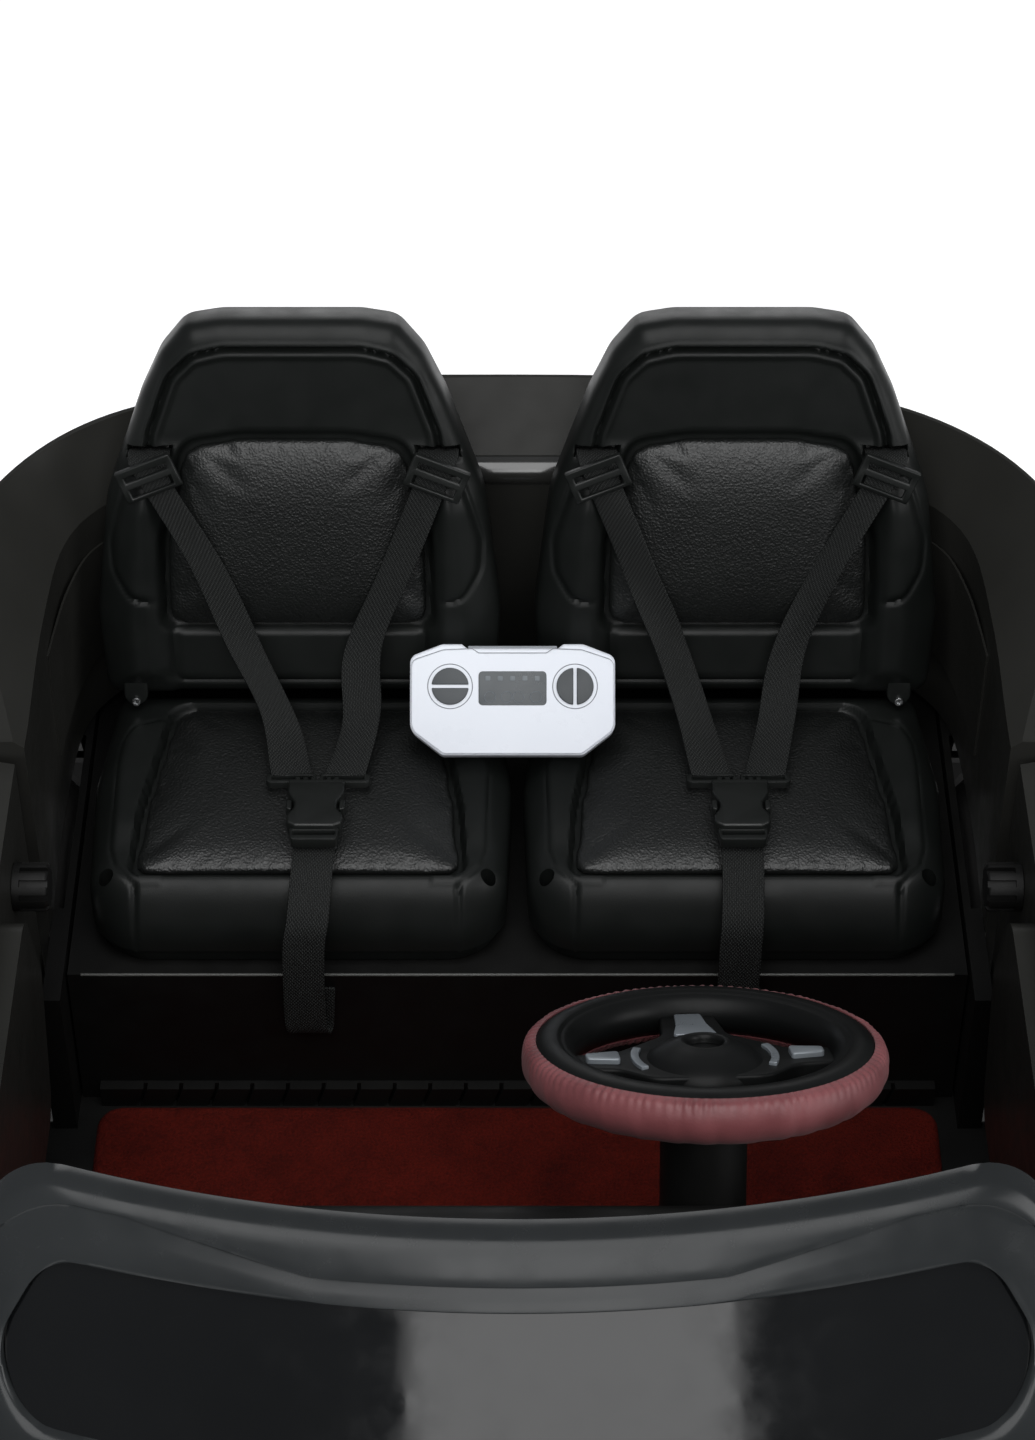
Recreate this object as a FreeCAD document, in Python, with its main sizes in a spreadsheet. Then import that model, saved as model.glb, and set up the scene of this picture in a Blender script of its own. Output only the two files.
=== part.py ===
import FreeCAD, Part
import math
import os
import re

V = FreeCAD.Vector
doc = FreeCAD.newDocument("RideOnCar")

# Driving dimensions in mm and degrees. Front is -Y, the car's left is +X, the ground is z = 0.
DRIVING = {
    "half_length": 640,
    "half_width": 372,
    "sill_bottom": 108,
    "sill_top": 165,
    "skin_wall": 5,
    "crest_level": 440,
    "ring_level": 398,
    "floor_level": 121,
    "deck_level": 156,
    "bench_level": 235,
    "bench_front": 275,
    "bench_rear": 540,
    "bench_half": 270,
    "cabin_half": 283,
    "door_front": -70,
    "door_rear": 300,
    "door_top": 395,
    "axle_spread": 400,
    "axle_level": 115,
    "wheel_offset": 322,
    "tyre_radius": 115,
    "rear_arch": 146,
    "front_arch": 154,
    "king_offset": 262,
    "arm_length": 60,
    "base_offset": 131.5,
    "back_offset": 135,
    "crease_line": 461,
    "seat_level": 288,
    "back_lean": 18,
    "column_offset": 98,
    "column_line": 69,
    "column_top": 400,
    "column_tilt": 30,
    "wheel_turn": 5.5,
    "grip_radius": 80,
    "grip_thick": 13,
    "crank_length": 50,
    "remote_width": 125,
    "remote_height": 68,
    "remote_thick": 24,
    "strap_width": 25,
    "strap_thick": 2,
    "mat_thick": 4,
}
sheet = doc.addObject("Spreadsheet::Sheet", "Sizes")
for row, (alias, value) in enumerate(DRIVING.items(), start=1):
    sheet.set(f"A{row}", alias)
    sheet.set(f"B{row}", str(value))
    sheet.setAlias(f"B{row}", alias)
doc.recompute()

nodes = {}


def mm(alias):
    return float(sheet.get(alias))


def bound(text):
    return re.sub(r"[a-z]+(?:_[a-z]+)+", lambda word: "Sizes." + word.group(), str(text))


def node(name, item):
    item.Label = name
    nodes[name] = item
    return item


# Plain solids and booleans

def box(name, x, y, z):
    solid = doc.addObject("Part::Box", name)
    for size, axis, (low, high) in zip(("Length", "Width", "Height"), "xyz", (x, y, z)):
        solid.setExpression(size, bound(f"({high}) - ({low})"))
        solid.setExpression(f"Placement.Base.{axis}", bound(low))
    return solid


def rod(name, radius, start, along, length):
    solid = doc.addObject("Part::Cylinder", name)
    solid.Placement = FreeCAD.Placement(V(), FreeCAD.Rotation(V(0, 0, 1), V(*along)))
    solid.setExpression("Radius", bound(radius))
    solid.setExpression("Height", bound(length))
    for axis, place in zip("xyz", start):
        solid.setExpression(f"Placement.Base.{axis}", bound(place))
    return solid


def join(name, *pieces):
    solid = doc.addObject("Part::MultiFuse", name)
    solid.Shapes = list(pieces)
    return solid


def cut(name, base, *tools):
    solid = doc.addObject("Part::Cut", name)
    solid.Base = base
    solid.Tool = tools[0] if len(tools) == 1 else join(name + "_tools", *tools)
    return solid


def common(name, *pieces):
    solid = doc.addObject("Part::MultiCommon", name)
    solid.Shapes = list(pieces)
    return solid


def group(name, *pieces):
    solids = doc.addObject("Part::Compound", name)
    solids.Links = list(pieces)
    return solids


def mirrored(name, source):
    solid = doc.addObject("Part::Mirroring", name)
    solid.Source = source
    solid.Normal = V(1, 0, 0)
    return solid


def feature(name, shape):
    item = doc.addObject("Part::Feature", name)
    item.Shape = shape
    return item


def loft(name, wires, ruled=False):
    solid = doc.addObject("Part::Loft", name)
    solid.Sections = [feature(f"{name}_section", wire) for wire in wires]
    solid.Solid = True
    solid.Ruled = ruled
    return solid


def prism(name, curves, place, depth):
    wire = Part.Wire([curve.toShape() for curve in curves])
    face = Part.Face(wire).transformed(place.toMatrix())
    return feature(name, face.extrude(depth))


def side_prism(name, corners, half, drop=0):
    spots = [V(-half, y, z - drop) for y, z in corners]
    face = Part.Face(Part.makePolygon(spots + spots[:1]))
    return feature(name, face.extrude(V(2 * half, 0, 0)))


# A closed outline of straight edges whose corners (x, y, radius) are rounded by arcs

def rounded(corners):
    spots = [(V(c[0], c[1], 0), c[2] if len(c) > 2 else 0) for c in corners]
    ends = []
    curves = []
    for i, (spot, radius) in enumerate(spots):
        before = (spots[i - 1][0] - spot).normalize()
        after = (spots[(i + 1) % len(spots)][0] - spot).normalize()
        if not radius:
            ends.append((spot, spot, None))
            continue
        half = before.getAngle(after) / 2
        reach = radius / math.tan(half)
        middle = (before + after).normalize()
        crown = spot + middle * (radius / math.sin(half) - radius)
        ends.append((spot + before * reach, spot + after * reach, crown))
    for i, (start, stop, crown) in enumerate(ends):
        if crown:
            curves.append(Part.Arc(start, crown, stop))
        following = ends[(i + 1) % len(ends)][0]
        if stop.distanceToPoint(following) > 0.01:
            curves.append(Part.LineSegment(stop, following))
    return curves


def both_sides(half):
    return half + [(-c[0], *c[1:]) for c in reversed(half) if abs(c[0]) > 0.001]


# PartDesign bodies: sketches on their own origin planes

def body_at(name, place=FreeCAD.Placement()):
    body = doc.addObject("PartDesign::Body", name)
    body.Placement = place
    return body


def sketch(body, curves, role="XY_Plane", lift=0):
    drawing = body.newObject("Sketcher::SketchObject", body.Name + "_sketch")
    support = next(f for f in body.Origin.OriginFeatures if f.Role == role)
    drawing.AttachmentSupport = [(support, "")]
    drawing.MapMode = "FlatFace"
    drawing.setExpression("AttachmentOffset.Base.z", bound(lift))
    drawing.addGeometry(curves, False)
    return drawing


def pad(body, drawing, length):
    added = body.newObject("PartDesign::Pad", body.Name + "_pad")
    added.Profile = drawing
    added.setExpression("Length", bound(length))
    drawing.Visibility = False
    return added


def pocket(body, drawing, length):
    taken = body.newObject("PartDesign::Pocket", body.Name + "_pocket")
    taken.Profile = drawing
    taken.setExpression("Length", bound(length))
    return taken


def turn(body, drawing, axis="V_Axis"):
    added = body.newObject("PartDesign::Revolution", body.Name + "_turn")
    added.Profile = drawing
    added.ReferenceAxis = (drawing, [axis])
    added.Angle = 360
    return added


def repeat(body, taken, drawing, axis, count):
    pattern = body.newObject("PartDesign::PolarPattern", body.Name + "_repeat")
    pattern.Originals = [taken]
    pattern.Axis = (drawing, [axis])
    pattern.Angle = 360
    pattern.Occurrences = count
    body.Tip = pattern
    return pattern


def soften(body, wanted, radius):
    doc.recompute()
    tip = body.Tip
    edges = [f"Edge{i}" for i, edge in enumerate(tip.Shape.Edges, start=1) if wanted(edge)]
    rounding = body.newObject("PartDesign::Fillet", body.Name + "_round")
    rounding.Base = (tip, edges)
    rounding.Radius = radius
    return rounding


def level_edges(height):
    def wanted(edge):
        span = edge.BoundBox
        return abs(span.ZMin - height) < 0.01 and abs(span.ZMax - height) < 0.01
    return wanted


def circle(x, y, radius):
    return [Part.Circle(V(x, y, 0), V(0, 0, 1), radius)]


def rectangle(x0, y0, x1, y1, radius=0):
    return rounded([(x0, y0, radius), (x1, y0, radius), (x1, y1, radius), (x0, y1, radius)])


# Body envelope: the closed plan outline of the car, scaled from level to level
PLAN = [(0, 1.0), (0.403, 0.989), (0.694, 0.947), (0.882, 0.859), (0.978, 0.734), (1.0, 0.609),
        (0.989, 0.422), (0.973, 0.188), (0.968, -0.094), (0.978, -0.375), (0.997, -0.625),
        (0.973, -0.766), (0.882, -0.875), (0.685, -0.953), (0.376, -0.991), (0, -1.0)]
LEVELS = [(108, 0.945, 0.962), (170, 0.975, 0.985), (250, 1.0, 1.0), (330, 0.992, 0.994),
          (385, 0.965, 0.972), (418, 0.938, 0.95), (440, 0.914, 0.927)]


def plan_wire(level, across, along):
    half = [(x * mm("half_width") * across, y * mm("half_length") * along) for x, y in PLAN]
    edges = []
    for side in (1, -1):
        points = [V(side * x, y, level) for x, y in half]
        if side < 0:
            points.reverse()
        curve = Part.BSplineCurve()
        curve.interpolate(Points=points, InitialTangent=V(side, 0, 0), FinalTangent=V(-side, 0, 0))
        edges.append(curve.toShape())
    return Part.Wire(edges)


def envelope(name, grow):
    wires = []
    for level, across, along in LEVELS:
        wider = across + grow / mm("half_width")
        longer = along + grow / mm("half_length")
        wires.append(plan_wire(level, wider, longer))
    return loft(name, wires)


outer = envelope("outer_form", 0)
inner = envelope("inner_form", -mm("skin_wall"))


# Rear bay: the U of the cabin wall round the seats, closed by a straight line
CREST = [(337, 290), (338, 380), (331, 437), (299, 508), (237, 559), (130, 585), (0, 592)]
WALL = [(283, 290), (283, 380), (281.5, 434), (268, 500), (232, 533), (130, 542), (0, 543)]


def bay_wire(half, level, grow=0):
    spots = []
    for x, y in half:
        spots.append((x + grow if x else 0, y + grow if y > 290 else y))
    points = [V(-x, y, level) for x, y in spots] + [V(x, y, level) for x, y in reversed(spots[:-1])]
    curve = Part.BSplineCurve()
    curve.interpolate(Points=points)
    return Part.Wire([curve.toShape(), Part.makeLine(points[-1], points[0])])


rear_zone = box("rear_zone", ("-500", "500"), ("door_rear + 3", "800"), ("sill_top + 1", "crest_level"))
seat_well = loft("seat_well", [bay_wire(WALL, 242), bay_wire(WALL, mm("ring_level"))], True)
ring_slope = loft("ring_slope", [bay_wire(WALL, mm("ring_level")), bay_wire(CREST, 441)], True)
well_skin = loft("well_skin", [bay_wire(WALL, 242, 5), bay_wire(WALL, 391, 5)], True)
slope_skin = loft("slope_skin", [bay_wire(WALL, 391, 5), bay_wire(CREST, 435, 2)], True)
UNDER_CREST = [(308, 0), (308, 396), (400, 417), (482, 434), (800, 434), (800, 0)]
under_crest = side_prism("under_crest", UNDER_CREST, 500)
rear_void = cut("rear_void", common("rear_inside", inner, under_crest), well_skin, slope_skin)


def arch_tools(name, radius, line, inside):
    left = rod(name + "_left", radius, (inside, line, "axle_level"), (1, 0, 0), 200)
    right = rod(name + "_right", radius, (f"-({inside})", line, "axle_level"), (-1, 0, 0), 200)
    return join(name, left, right)


rear_cut = arch_tools("rear_cut", "rear_arch", "axle_spread", 290)
rear_liner_out = arch_tools("rear_liner_out", "rear_arch + 4", "axle_spread", 290)
front_cut = arch_tools("front_cut", "front_arch", "-axle_spread", 236)
front_liner_out = arch_tools("front_liner_out", "front_arch + 4", "-axle_spread", 236)


def lamp_tool(name, x, z, width, height, y, depth, radius, grow=0):
    half_w = width / 2 + grow
    half_h = height / 2 + grow
    place = FreeCAD.Placement(V(x, y, z), FreeCAD.Rotation(V(1, 0, 0), 90))
    return prism(name, rectangle(-half_w, -half_h, half_w, half_h, radius + grow), place, V(0, depth, 0))


def lamp_pair(name, spot, grow):
    x, z, width, height, y, depth, radius = spot
    left = lamp_tool(name + "_left", x, z, width, height, y, depth, radius, grow)
    right = lamp_tool(name + "_right", -x, z, width, height, y, depth, radius, grow)
    return join(name, left, right)


HEADLAMP = (262, 318, 116, 58, -700, 260, 24)
TAILLAMP = (268, 330, 104, 62, 430, 300, 22)
GRILLE = (0, 296, 300, 74, -700, 200, 22)

CREST_FALL = [(290, 402), (305, 403), (400, 424), (490, 441), (490, 520), (290, 520)]
crest_fall = side_prism("crest_fall", CREST_FALL, 500)
rear_block = common("rear_block", outer, rear_zone)
rear_shell = cut("rear_shell", rear_block, seat_well, ring_slope, rear_void, crest_fall)
rear_liner = common("rear_liner", cut("rear_tubes", rear_liner_out, rear_cut), inner, rear_zone)
rear_all = cut("rear_all", join("rear_joined", rear_shell, rear_liner), rear_cut)
bench_room = box("bench_room", ("-cabin_half", "cabin_half"), ("door_rear", "bench_rear + 1"),
                 ("sill_top", "bench_level + 7"))
tyre_room = arch_tools("tyre_room", "tyre_radius + 10", "axle_spread", 276)
tail_holes = lamp_pair("tail_holes", TAILLAMP, 0.6)
node("rear_body", cut("rear_body", rear_all, tail_holes, bench_room, tyre_room))


# Front body: sides and nose under a sloping top, a bulkhead, the bonnet opening left out
TOP_LINE = [(-60, 412), (-285, 412), (-560, 384), (-640, 366), (-720, 330), (-720, 60), (-60, 60)]


front_top = side_prism("front_top", TOP_LINE, 500)
front_under = side_prism("front_under", TOP_LINE, 500, 6)
front_zone = box("front_zone", ("-500", "500"), ("-800", "door_front - 3"), ("sill_top + 1", "crest_level"))
foot_space = box("foot_space", ("-cabin_half", "cabin_half"), ("-216", "0"), ("0", "500"))
foot_skin = box("foot_skin", ("-cabin_half - 5", "cabin_half + 5"), ("-222", "0"), ("0", "500"))
nose_side = box("nose_side", ("-500", "500"), ("-800", "door_front - 8"), ("0", "500"))
nose_void = cut("nose_void", common("nose_inside", inner, front_under, nose_side), foot_skin)
front_block = common("front_block", outer, front_zone, front_top)
front_shell = cut("front_shell", front_block, nose_void, foot_space)
front_tubes = cut("front_tubes", front_liner_out, front_cut)
front_liner = common("front_liner", front_tubes, inner, front_zone, front_top)
front_all = cut("front_all", join("front_joined", front_shell, front_liner), front_cut)

BONNET = [(0, -280, 0), (250, -280, 14), (246, -440, 60), (214, -572, 46), (120, -590, 90), (0, -594, 0)]


def bonnet_plan(grow):
    spots = []
    for x, y, radius in BONNET:
        spots.append((x + grow if x else 0, y + grow if y == -280 else y - grow, radius))
    return rounded(spots + [(-x, y, r) for x, y, r in reversed(spots[1:-1])])


high = FreeCAD.Placement(V(0, 0, 350), FreeCAD.Rotation())
bonnet_hole = prism("bonnet_hole", bonnet_plan(2.5), high, V(0, 0, 150))
bonnet_trim = prism("bonnet_trim", bonnet_plan(0), high, V(0, 0, 150))
head_holes = lamp_pair("head_holes", HEADLAMP, 0.6)
grille_hole = lamp_tool("grille_hole", *GRILLE, 0.6)
node("front_body", cut("front_body", front_all, bonnet_hole, head_holes, grille_hole))


# Bonnet: a crowned panel lofted from the windscreen to the nose, trimmed to its plan, its edge turned down
def crown_wire(y, half, edge, crown, thick):
    top = Part.Arc(V(-half, y, edge), V(0, y, crown), V(half, y, edge)).toShape()
    low = Part.Arc(V(-half, y, edge - thick), V(0, y, crown - thick), V(half, y, edge - thick)).toShape()
    left = Part.makeLine(V(-half, y, edge - thick), V(-half, y, edge))
    right = Part.makeLine(V(half, y, edge), V(half, y, edge - thick))
    return Part.Wire([left, top, right, low])


CROWNS = [(-270, 262, 412, 446), (-360, 262, 405, 440), (-460, 262, 392, 426), (-540, 262, 378, 409),
          (-610, 262, 360, 386)]
bonnet_form = loft("bonnet_form", [crown_wire(*crown, 6) for crown in CROWNS])
bonnet_deep = loft("bonnet_deep", [crown_wire(*crown, 42) for crown in CROWNS])
bonnet_inset = prism("bonnet_inset", bonnet_plan(-5), high, V(0, 0, 150))
bonnet_panel = common("bonnet_panel", bonnet_form, bonnet_trim)
bonnet_rim = common("bonnet_rim", bonnet_deep, cut("bonnet_edge", bonnet_trim, bonnet_inset))
node("bonnet", join("bonnet", bonnet_panel, bonnet_rim))


# Lower tub: outer sill wall, footwell floor, raised decks over the axles, pedal lugs, rear wheelhouses
sill_zone = box("sill_zone", ("-500", "500"), ("-800", "800"), ("sill_bottom", "sill_top"))
sill_slice = common("sill_slice", outer, sill_zone)
sill_wall = cut("sill_wall", sill_slice, inner)
plates = join(
    "plates",
    box("floor_plate", ("-400", "400"), ("-206", "293"), ("floor_level - 7", "floor_level")),
    box("front_plate", ("-400", "400"), ("-700", "-200"), ("deck_level - 6", "deck_level")),
    box("rear_plate", ("-400", "400"), ("287", "700"), ("deck_level - 6", "deck_level")),
    box("front_riser", ("-400", "400"), ("-206", "-200"), ("floor_level - 7", "deck_level")),
    box("rear_riser", ("-400", "400"), ("287", "293"), ("floor_level - 7", "deck_level")),
)
floor_part = common("floor_part", sill_slice, plates)
lugs = join(
    "lugs",
    box("lug_inner", ("6", "13"), ("-80", "-60"), ("floor_level - 3", "floor_level + 24")),
    box("lug_outer", ("77", "84"), ("-80", "-60"), ("floor_level - 3", "floor_level + 24")),
)
houses = []
for wall, shelf, front in (((271.5, 275.5), (271.5, 282.5), (271.5, 286)),
                           ((-275.5, -271.5), (-282.5, -271.5), (-286, -271.5))):
    houses += [
        box("house_front", front, ("250", "254"), ("floor_level - 7", "bench_level + 5")),
        box("house_toe", wall, ("250", "293"), ("floor_level - 7", "bench_level + 5")),
        box("house_wall", wall, ("287", "bench_rear + 6"), ("deck_level - 6", "bench_level + 5")),
        box("house_shelf", shelf, ("250", "bench_rear + 6"), ("bench_level + 1", "bench_level + 5")),
    ]
tub_wells = join(
    "tub_wells",
    arch_tools("tub_front", "front_arch", "-axle_spread", 236),
    arch_tools("tub_rear", "rear_arch", "axle_spread", 276),
)
tilt = math.radians(mm("column_tilt"))
column_way = (0, -math.sin(tilt), -math.cos(tilt))
column_eye = ("column_offset", "column_line", "column_top")
shaft_hole = rod("shaft_hole", 13, column_eye, column_way, 420)
pedal_bore = rod("pedal_bore", 4.06, ("0", "-70", "floor_level + 15"), (1, 0, 0), 90)
tub_joined = join("tub_joined", sill_wall, floor_part, lugs, *houses)
node("lower_tub", cut("lower_tub", tub_joined, tub_wells, shaft_hole, pedal_bore))


# Skins that follow the body: bumpers, arch trims, lamps, grille
proud = envelope("proud_form", 9)
near = envelope("near_form", 0.8)
skirt = cut("skirt", proud, near)
skirt_front = box("skirt_front", ("-500", "500"), ("-800", "-562"), ("120", "216"))
skirt_rear = box("skirt_rear", ("-500", "500"), ("556", "800"), ("120", "216"))
bumper_front = common("bumper_front", skirt, skirt_front)
bumper_rear = common("bumper_rear", skirt, skirt_rear)
node("bumpers", group("bumpers", bumper_front, bumper_rear))

trim_rings = []
door_span = box("door_span", ("-500", "500"), ("door_front - 3", "door_rear + 3"), ("0", "500"))
for spot, radius, line, inside in (("front", "front_arch", "-axle_spread", 300),
                                   ("rear", "rear_arch", "axle_spread", 300)):
    for side, sign in (("left", 1), ("right", -1)):
        start = (sign * inside, line, "axle_level")
        ring_out = rod(f"{spot}_{side}_out", f"{radius} + 16", start, (sign, 0, 0), 120)
        ring_in = rod(f"{spot}_{side}_in", radius, start, (sign, 0, 0), 120)
        ring = cut(f"{spot}_{side}_ring", ring_out, ring_in)
        above = box(f"{spot}_{side}_above", ("-500", "500"), ("-800", "800"), ("sill_bottom + 14", "400"))
        flare = common(f"{spot}_{side}_flare", skirt, ring, above)
        clear = cut(f"{spot}_{side}_clear", flare, skirt_front, skirt_rear, door_span)
        trim_rings.append(clear)
node("arch_trims", group("arch_trims", *trim_rings))

lens_out = envelope("lens_out", 2)
lens_in = envelope("lens_in", -12)
lens_skin = cut("lens_skin", lens_out, lens_in)
head_left = common("head_left", lens_skin, lamp_tool("head_tool_left", *HEADLAMP))
node("headlights", group("headlights", head_left, mirrored("head_right", head_left)))
tail_left = common("tail_left", lens_skin, lamp_tool("tail_tool_left", *TAILLAMP))
node("taillights", group("taillights", tail_left, mirrored("tail_right", tail_left)))

grille_skin = cut("grille_skin", envelope("grille_out", -4), envelope("grille_in", -14))
grille_block = common("grille_block", grille_skin, lamp_tool("grille_tool", *GRILLE))
slots = [lamp_tool(f"grille_slot{i}", -114 + 38 * i, 296, 24, 54, -700, 200, 8) for i in range(7)]
node("grille", cut("grille", grille_block, *slots))


# Side mirrors: housing and stalk on the windscreen foot
housing = lamp_tool("mirror_housing", 374, 444, 76, 50, -160, 36, 22)
stalk = rod("mirror_stalk", 8, ("322", "-145", "402"), (36, 4, 34), 52)
mirror_left = cut("mirror_left", join("mirror_joined", housing, stalk), front_block)
node("side_mirrors", group("side_mirrors", mirror_left, mirrored("mirror_right", mirror_left)))


# Windscreen: a raked slab curved in plan, trimmed to a frame and a pane
def bow_wire(level, line, radius, thick, half):
    def bow(depth, reach):
        y = line + depth
        return V(reach, y + radius - depth - math.sqrt((radius - depth) ** 2 - reach ** 2), level)
    front = Part.Arc(bow(0, -half), bow(0, 0), bow(0, half)).toShape()
    rear = Part.Arc(bow(thick, half), bow(thick, 0), bow(thick, -half)).toShape()
    return Part.Wire([front, Part.makeLine(bow(0, half), bow(thick, half)), rear,
                      Part.makeLine(bow(thick, -half), bow(0, -half))])


SCREEN = [(304, 412, 5), (300, 424, 10), (236, 521, 46)]
PANE = [(262, 436, 24), (216, 497, 34)]


def screen_prism(name, half, grow=0):
    corners = [(x + grow, z + (grow if z > 460 else -grow), r) for x, z, r in half]
    curves = rounded(corners + [(-x, z, r) for x, z, r in reversed(corners)])
    place = FreeCAD.Placement(V(0, -400, 0), FreeCAD.Rotation(V(1, 0, 0), 90))
    return prism(name, curves, place, V(0, 500, 0))


screen_bows = [bow_wire(400, -256, 760, 17, 330), bow_wire(530, -137, 727, 17, 330)]
screen_slab = loft("screen_slab", screen_bows, True)
pane_slab = loft("pane_slab", [bow_wire(400, -250, 760, 6, 330), bow_wire(530, -131, 727, 6, 330)], True)
frame_blank = common("frame_blank", screen_slab, screen_prism("screen_edge", SCREEN))
node("windscreen_frame", cut("windscreen_frame", frame_blank, screen_prism("pane_hole", PANE)))
node("windscreen_pane", common("windscreen_pane", pane_slab, screen_prism("pane_edge", PANE)))


# Dashboard: a hollow hood over the feet with a hole for the column and a button seat
dash = body_at("dash_moulding")
DASH = [(-212, 396), (-90, 404, 40), (-16, 388, 16), (-4, 356, 12), (-4, 246, 14), (-44, 228, 12),
        (-212, 228)]
DASH_IN = [(-220, 390), (-90, 398, 36), (-22, 383, 12), (-10, 354, 8), (-10, 250, 10), (-46, 234, 8),
           (-220, 234)]
pad(dash, sketch(dash, rounded(DASH), "YZ_Plane", -279), 558)
pocket(dash, sketch(dash, rounded(DASH_IN), "YZ_Plane", 273), 546)
column_cut = rod("column_cut", 26, column_eye, column_way, 300)
button_hole = rod("button_hole", 13, ("-20", "-40", "320"), (0, 1, 0), 80)
node("dashboard", cut("dashboard", dash, column_cut, button_hole))

button = body_at("power_knob", FreeCAD.Placement(V(-20, -4, 320), FreeCAD.Rotation(V(1, 0, 0), -90)))
pad(button, sketch(button, circle(0, 0, 12.7), lift=-10), 16)
soften(button, level_edges(6), 2)
node("power_button", button)


# Seat bench: the box the seats stand on, with a row of slanted foot ribs
bench_shell = cut(
    "bench_shell",
    box("bench_block", ("-bench_half", "bench_half"), ("bench_front", "bench_rear"),
        ("deck_level", "bench_level")),
    box("bench_void", ("6 - bench_half", "bench_half - 6"), ("bench_front + 6", "bench_rear - 6"),
        ("0", "bench_level - 6")),
)
bench_face = box("bench_face", ("-bench_half", "bench_half"), ("bench_front", "bench_front + 6"),
                 ("floor_level", "bench_level"))
foot_strip = box("foot_strip", ("12 - bench_half", "bench_half - 12"), ("bench_front - 7", "bench_front + 2"),
                 ("floor_level", "floor_level + 16"))
lean = FreeCAD.Rotation(V(0, 1, 0), 18)
gaps = []
for i in range(22):
    gap = doc.addObject("Part::Box", "strip_gap")
    gap.Length = 2.4
    gap.Width = 9
    gap.Height = 30
    gap.Placement = FreeCAD.Placement(V(-238 + 22 * i, 264, 116), lean)
    gaps.append(gap)
foot_ribs = cut("foot_ribs", foot_strip, *gaps)
node("seat_bench", join("seat_bench", bench_shell, bench_face, foot_ribs))

mat = body_at("mat_form", FreeCAD.Placement(V(0, 0, mm("floor_level")), FreeCAD.Rotation()))
MAT = [(-259, -34, 10), (259, -34, 10), (259, 265, 16), (-259, 265, 16)]
pad(mat, sketch(mat, rounded(MAT)), "mat_thick")
soften(mat, level_edges(mm("mat_thick")), 1)
node("carpet_mat", mat)


# Seats: moulded base and back with raised bolsters, pads let into them
BASE = [(0, -178), (124, -178, 34), (128, -70, 60), (119, 9, 10), (0, 9)]
BASE_PAD = [(94, -150, 8), (92, -100, 40), (80, -8, 20)]
BACK = [(121, 6, 12), (124.5, 62, 80), (115, 140, 70), (92, 203, 70), (79, 230, 30), (63, 249, 14),
        (42, 252.5, 40)]
BACK_PAD = [(82, 54, 12), (81, 110, 50), (67, 174, 22)]
HEAD = [(85, 181, 8), (74, 216, 14), (59, 229, 12), (40, 232.5, 30)]


def seat_base(name, sign):
    spot = V(sign * mm("base_offset"), mm("crease_line"), mm("bench_level"))
    place = FreeCAD.Placement(spot, FreeCAD.Rotation())
    base = body_at(name, place)
    pad(base, sketch(base, rounded(both_sides(BASE))), "seat_level - bench_level")
    top = mm("seat_level") - mm("bench_level")
    soften(base, level_edges(top), 17)
    rail_height = top - 8
    for side in (1, -1):
        bolster = [(side * 92, -130, 8), (side * 118, -118, 10), (side * 118, -20, 10), (side * 84, -2, 6)]
        pad(base, sketch(base, rounded(bolster), lift=rail_height), 12)
    soften(base, level_edges(top + 4), 3.5)
    pocket(base, sketch(base, rounded(both_sides(BASE_PAD)), lift=top + 1), 7)
    holes = circle(114, -152, 4.5) + circle(-114, -152, 4.5)
    pocket(base, sketch(base, holes, lift=top + 1), 24)
    return base


def seat_back(name, sign):
    raise_up = FreeCAD.Rotation(V(1, 0, 0), 90 - mm("back_lean"))
    place = FreeCAD.Placement(V(sign * mm("back_offset"), mm("crease_line"), mm("seat_level")), raise_up)
    back = body_at(name, place)
    pad(back, sketch(back, rounded(both_sides(BACK)), lift=-26), 40)
    soften(back, level_edges(14), 11)
    soften(back, level_edges(-26), 10)
    for side in (1, -1):
        bolster = [(side * 86, 20, 10), (side * 116, 20, 14), (side * 118, 70, 40), (side * 106, 138, 16),
                   (side * 74, 160, 8)]
        pad(back, sketch(back, rounded(bolster), lift=6), 17)
    soften(back, level_edges(23), 7)
    pocket(back, sketch(back, rounded(both_sides(BACK_PAD)), lift=24), 18)
    pocket(back, sketch(back, rounded(both_sides(HEAD)), lift=15), 6)
    slots = rectangle(72, 160, 98, 168, 3) + rectangle(-98, 160, -72, 168, 3)
    pocket(back, sketch(back, slots, lift=24), 70)
    pad(back, sketch(back, rectangle(-96, -42, 96, 30, 8), lift=-34), 10)
    return back


# Pads: crowned cushions lofted across their length, narrow at both ends
def cushion(name, place, rows):
    wires = []
    for along, half, low, edge, crown in rows:
        left = Part.makeLine(V(-half, along, low), V(-half, along, edge))
        top = Part.Arc(V(-half, along, edge), V(0, along, crown), V(half, along, edge)).toShape()
        right = Part.makeLine(V(half, along, edge), V(half, along, low))
        foot = Part.makeLine(V(half, along, low), V(-half, along, low))
        wires.append(Part.Wire([left, top, right, foot]).transformed(place.toMatrix()))
    return loft(name, wires)


BASE_ROWS = [(-148, 84, 47.3, 48.4, 49.5), (-138, 89, 47.3, 53, 57), (-70, 85, 47.3, 55, 60),
             (-24, 75, 47.3, 54, 58), (-11, 58, 47.3, 48.4, 49.5)]
BACK_ROWS = [(56, 69, 6.3, 7.6, 9), (66, 77, 6.3, 12, 17), (110, 76, 6.3, 13, 19), (150, 64, 6.3, 12, 17),
             (170, 44, 6.3, 7.6, 9)]


# Ribbons: thin bands through stations of a centre point, an across direction and a normal
def ribbon(stations, width, thick):
    wires = []
    for centre, across, out in stations:
        side = V(*across).normalize() * (width / 2)
        rise = V(*out).normalize() * thick
        spot = V(*centre)
        wires.append(Part.makePolygon([spot - side, spot + side, spot + side + rise, spot - side + rise,
                                       spot - side]))
    return Part.makeLoft(wires, True, True)


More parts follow.
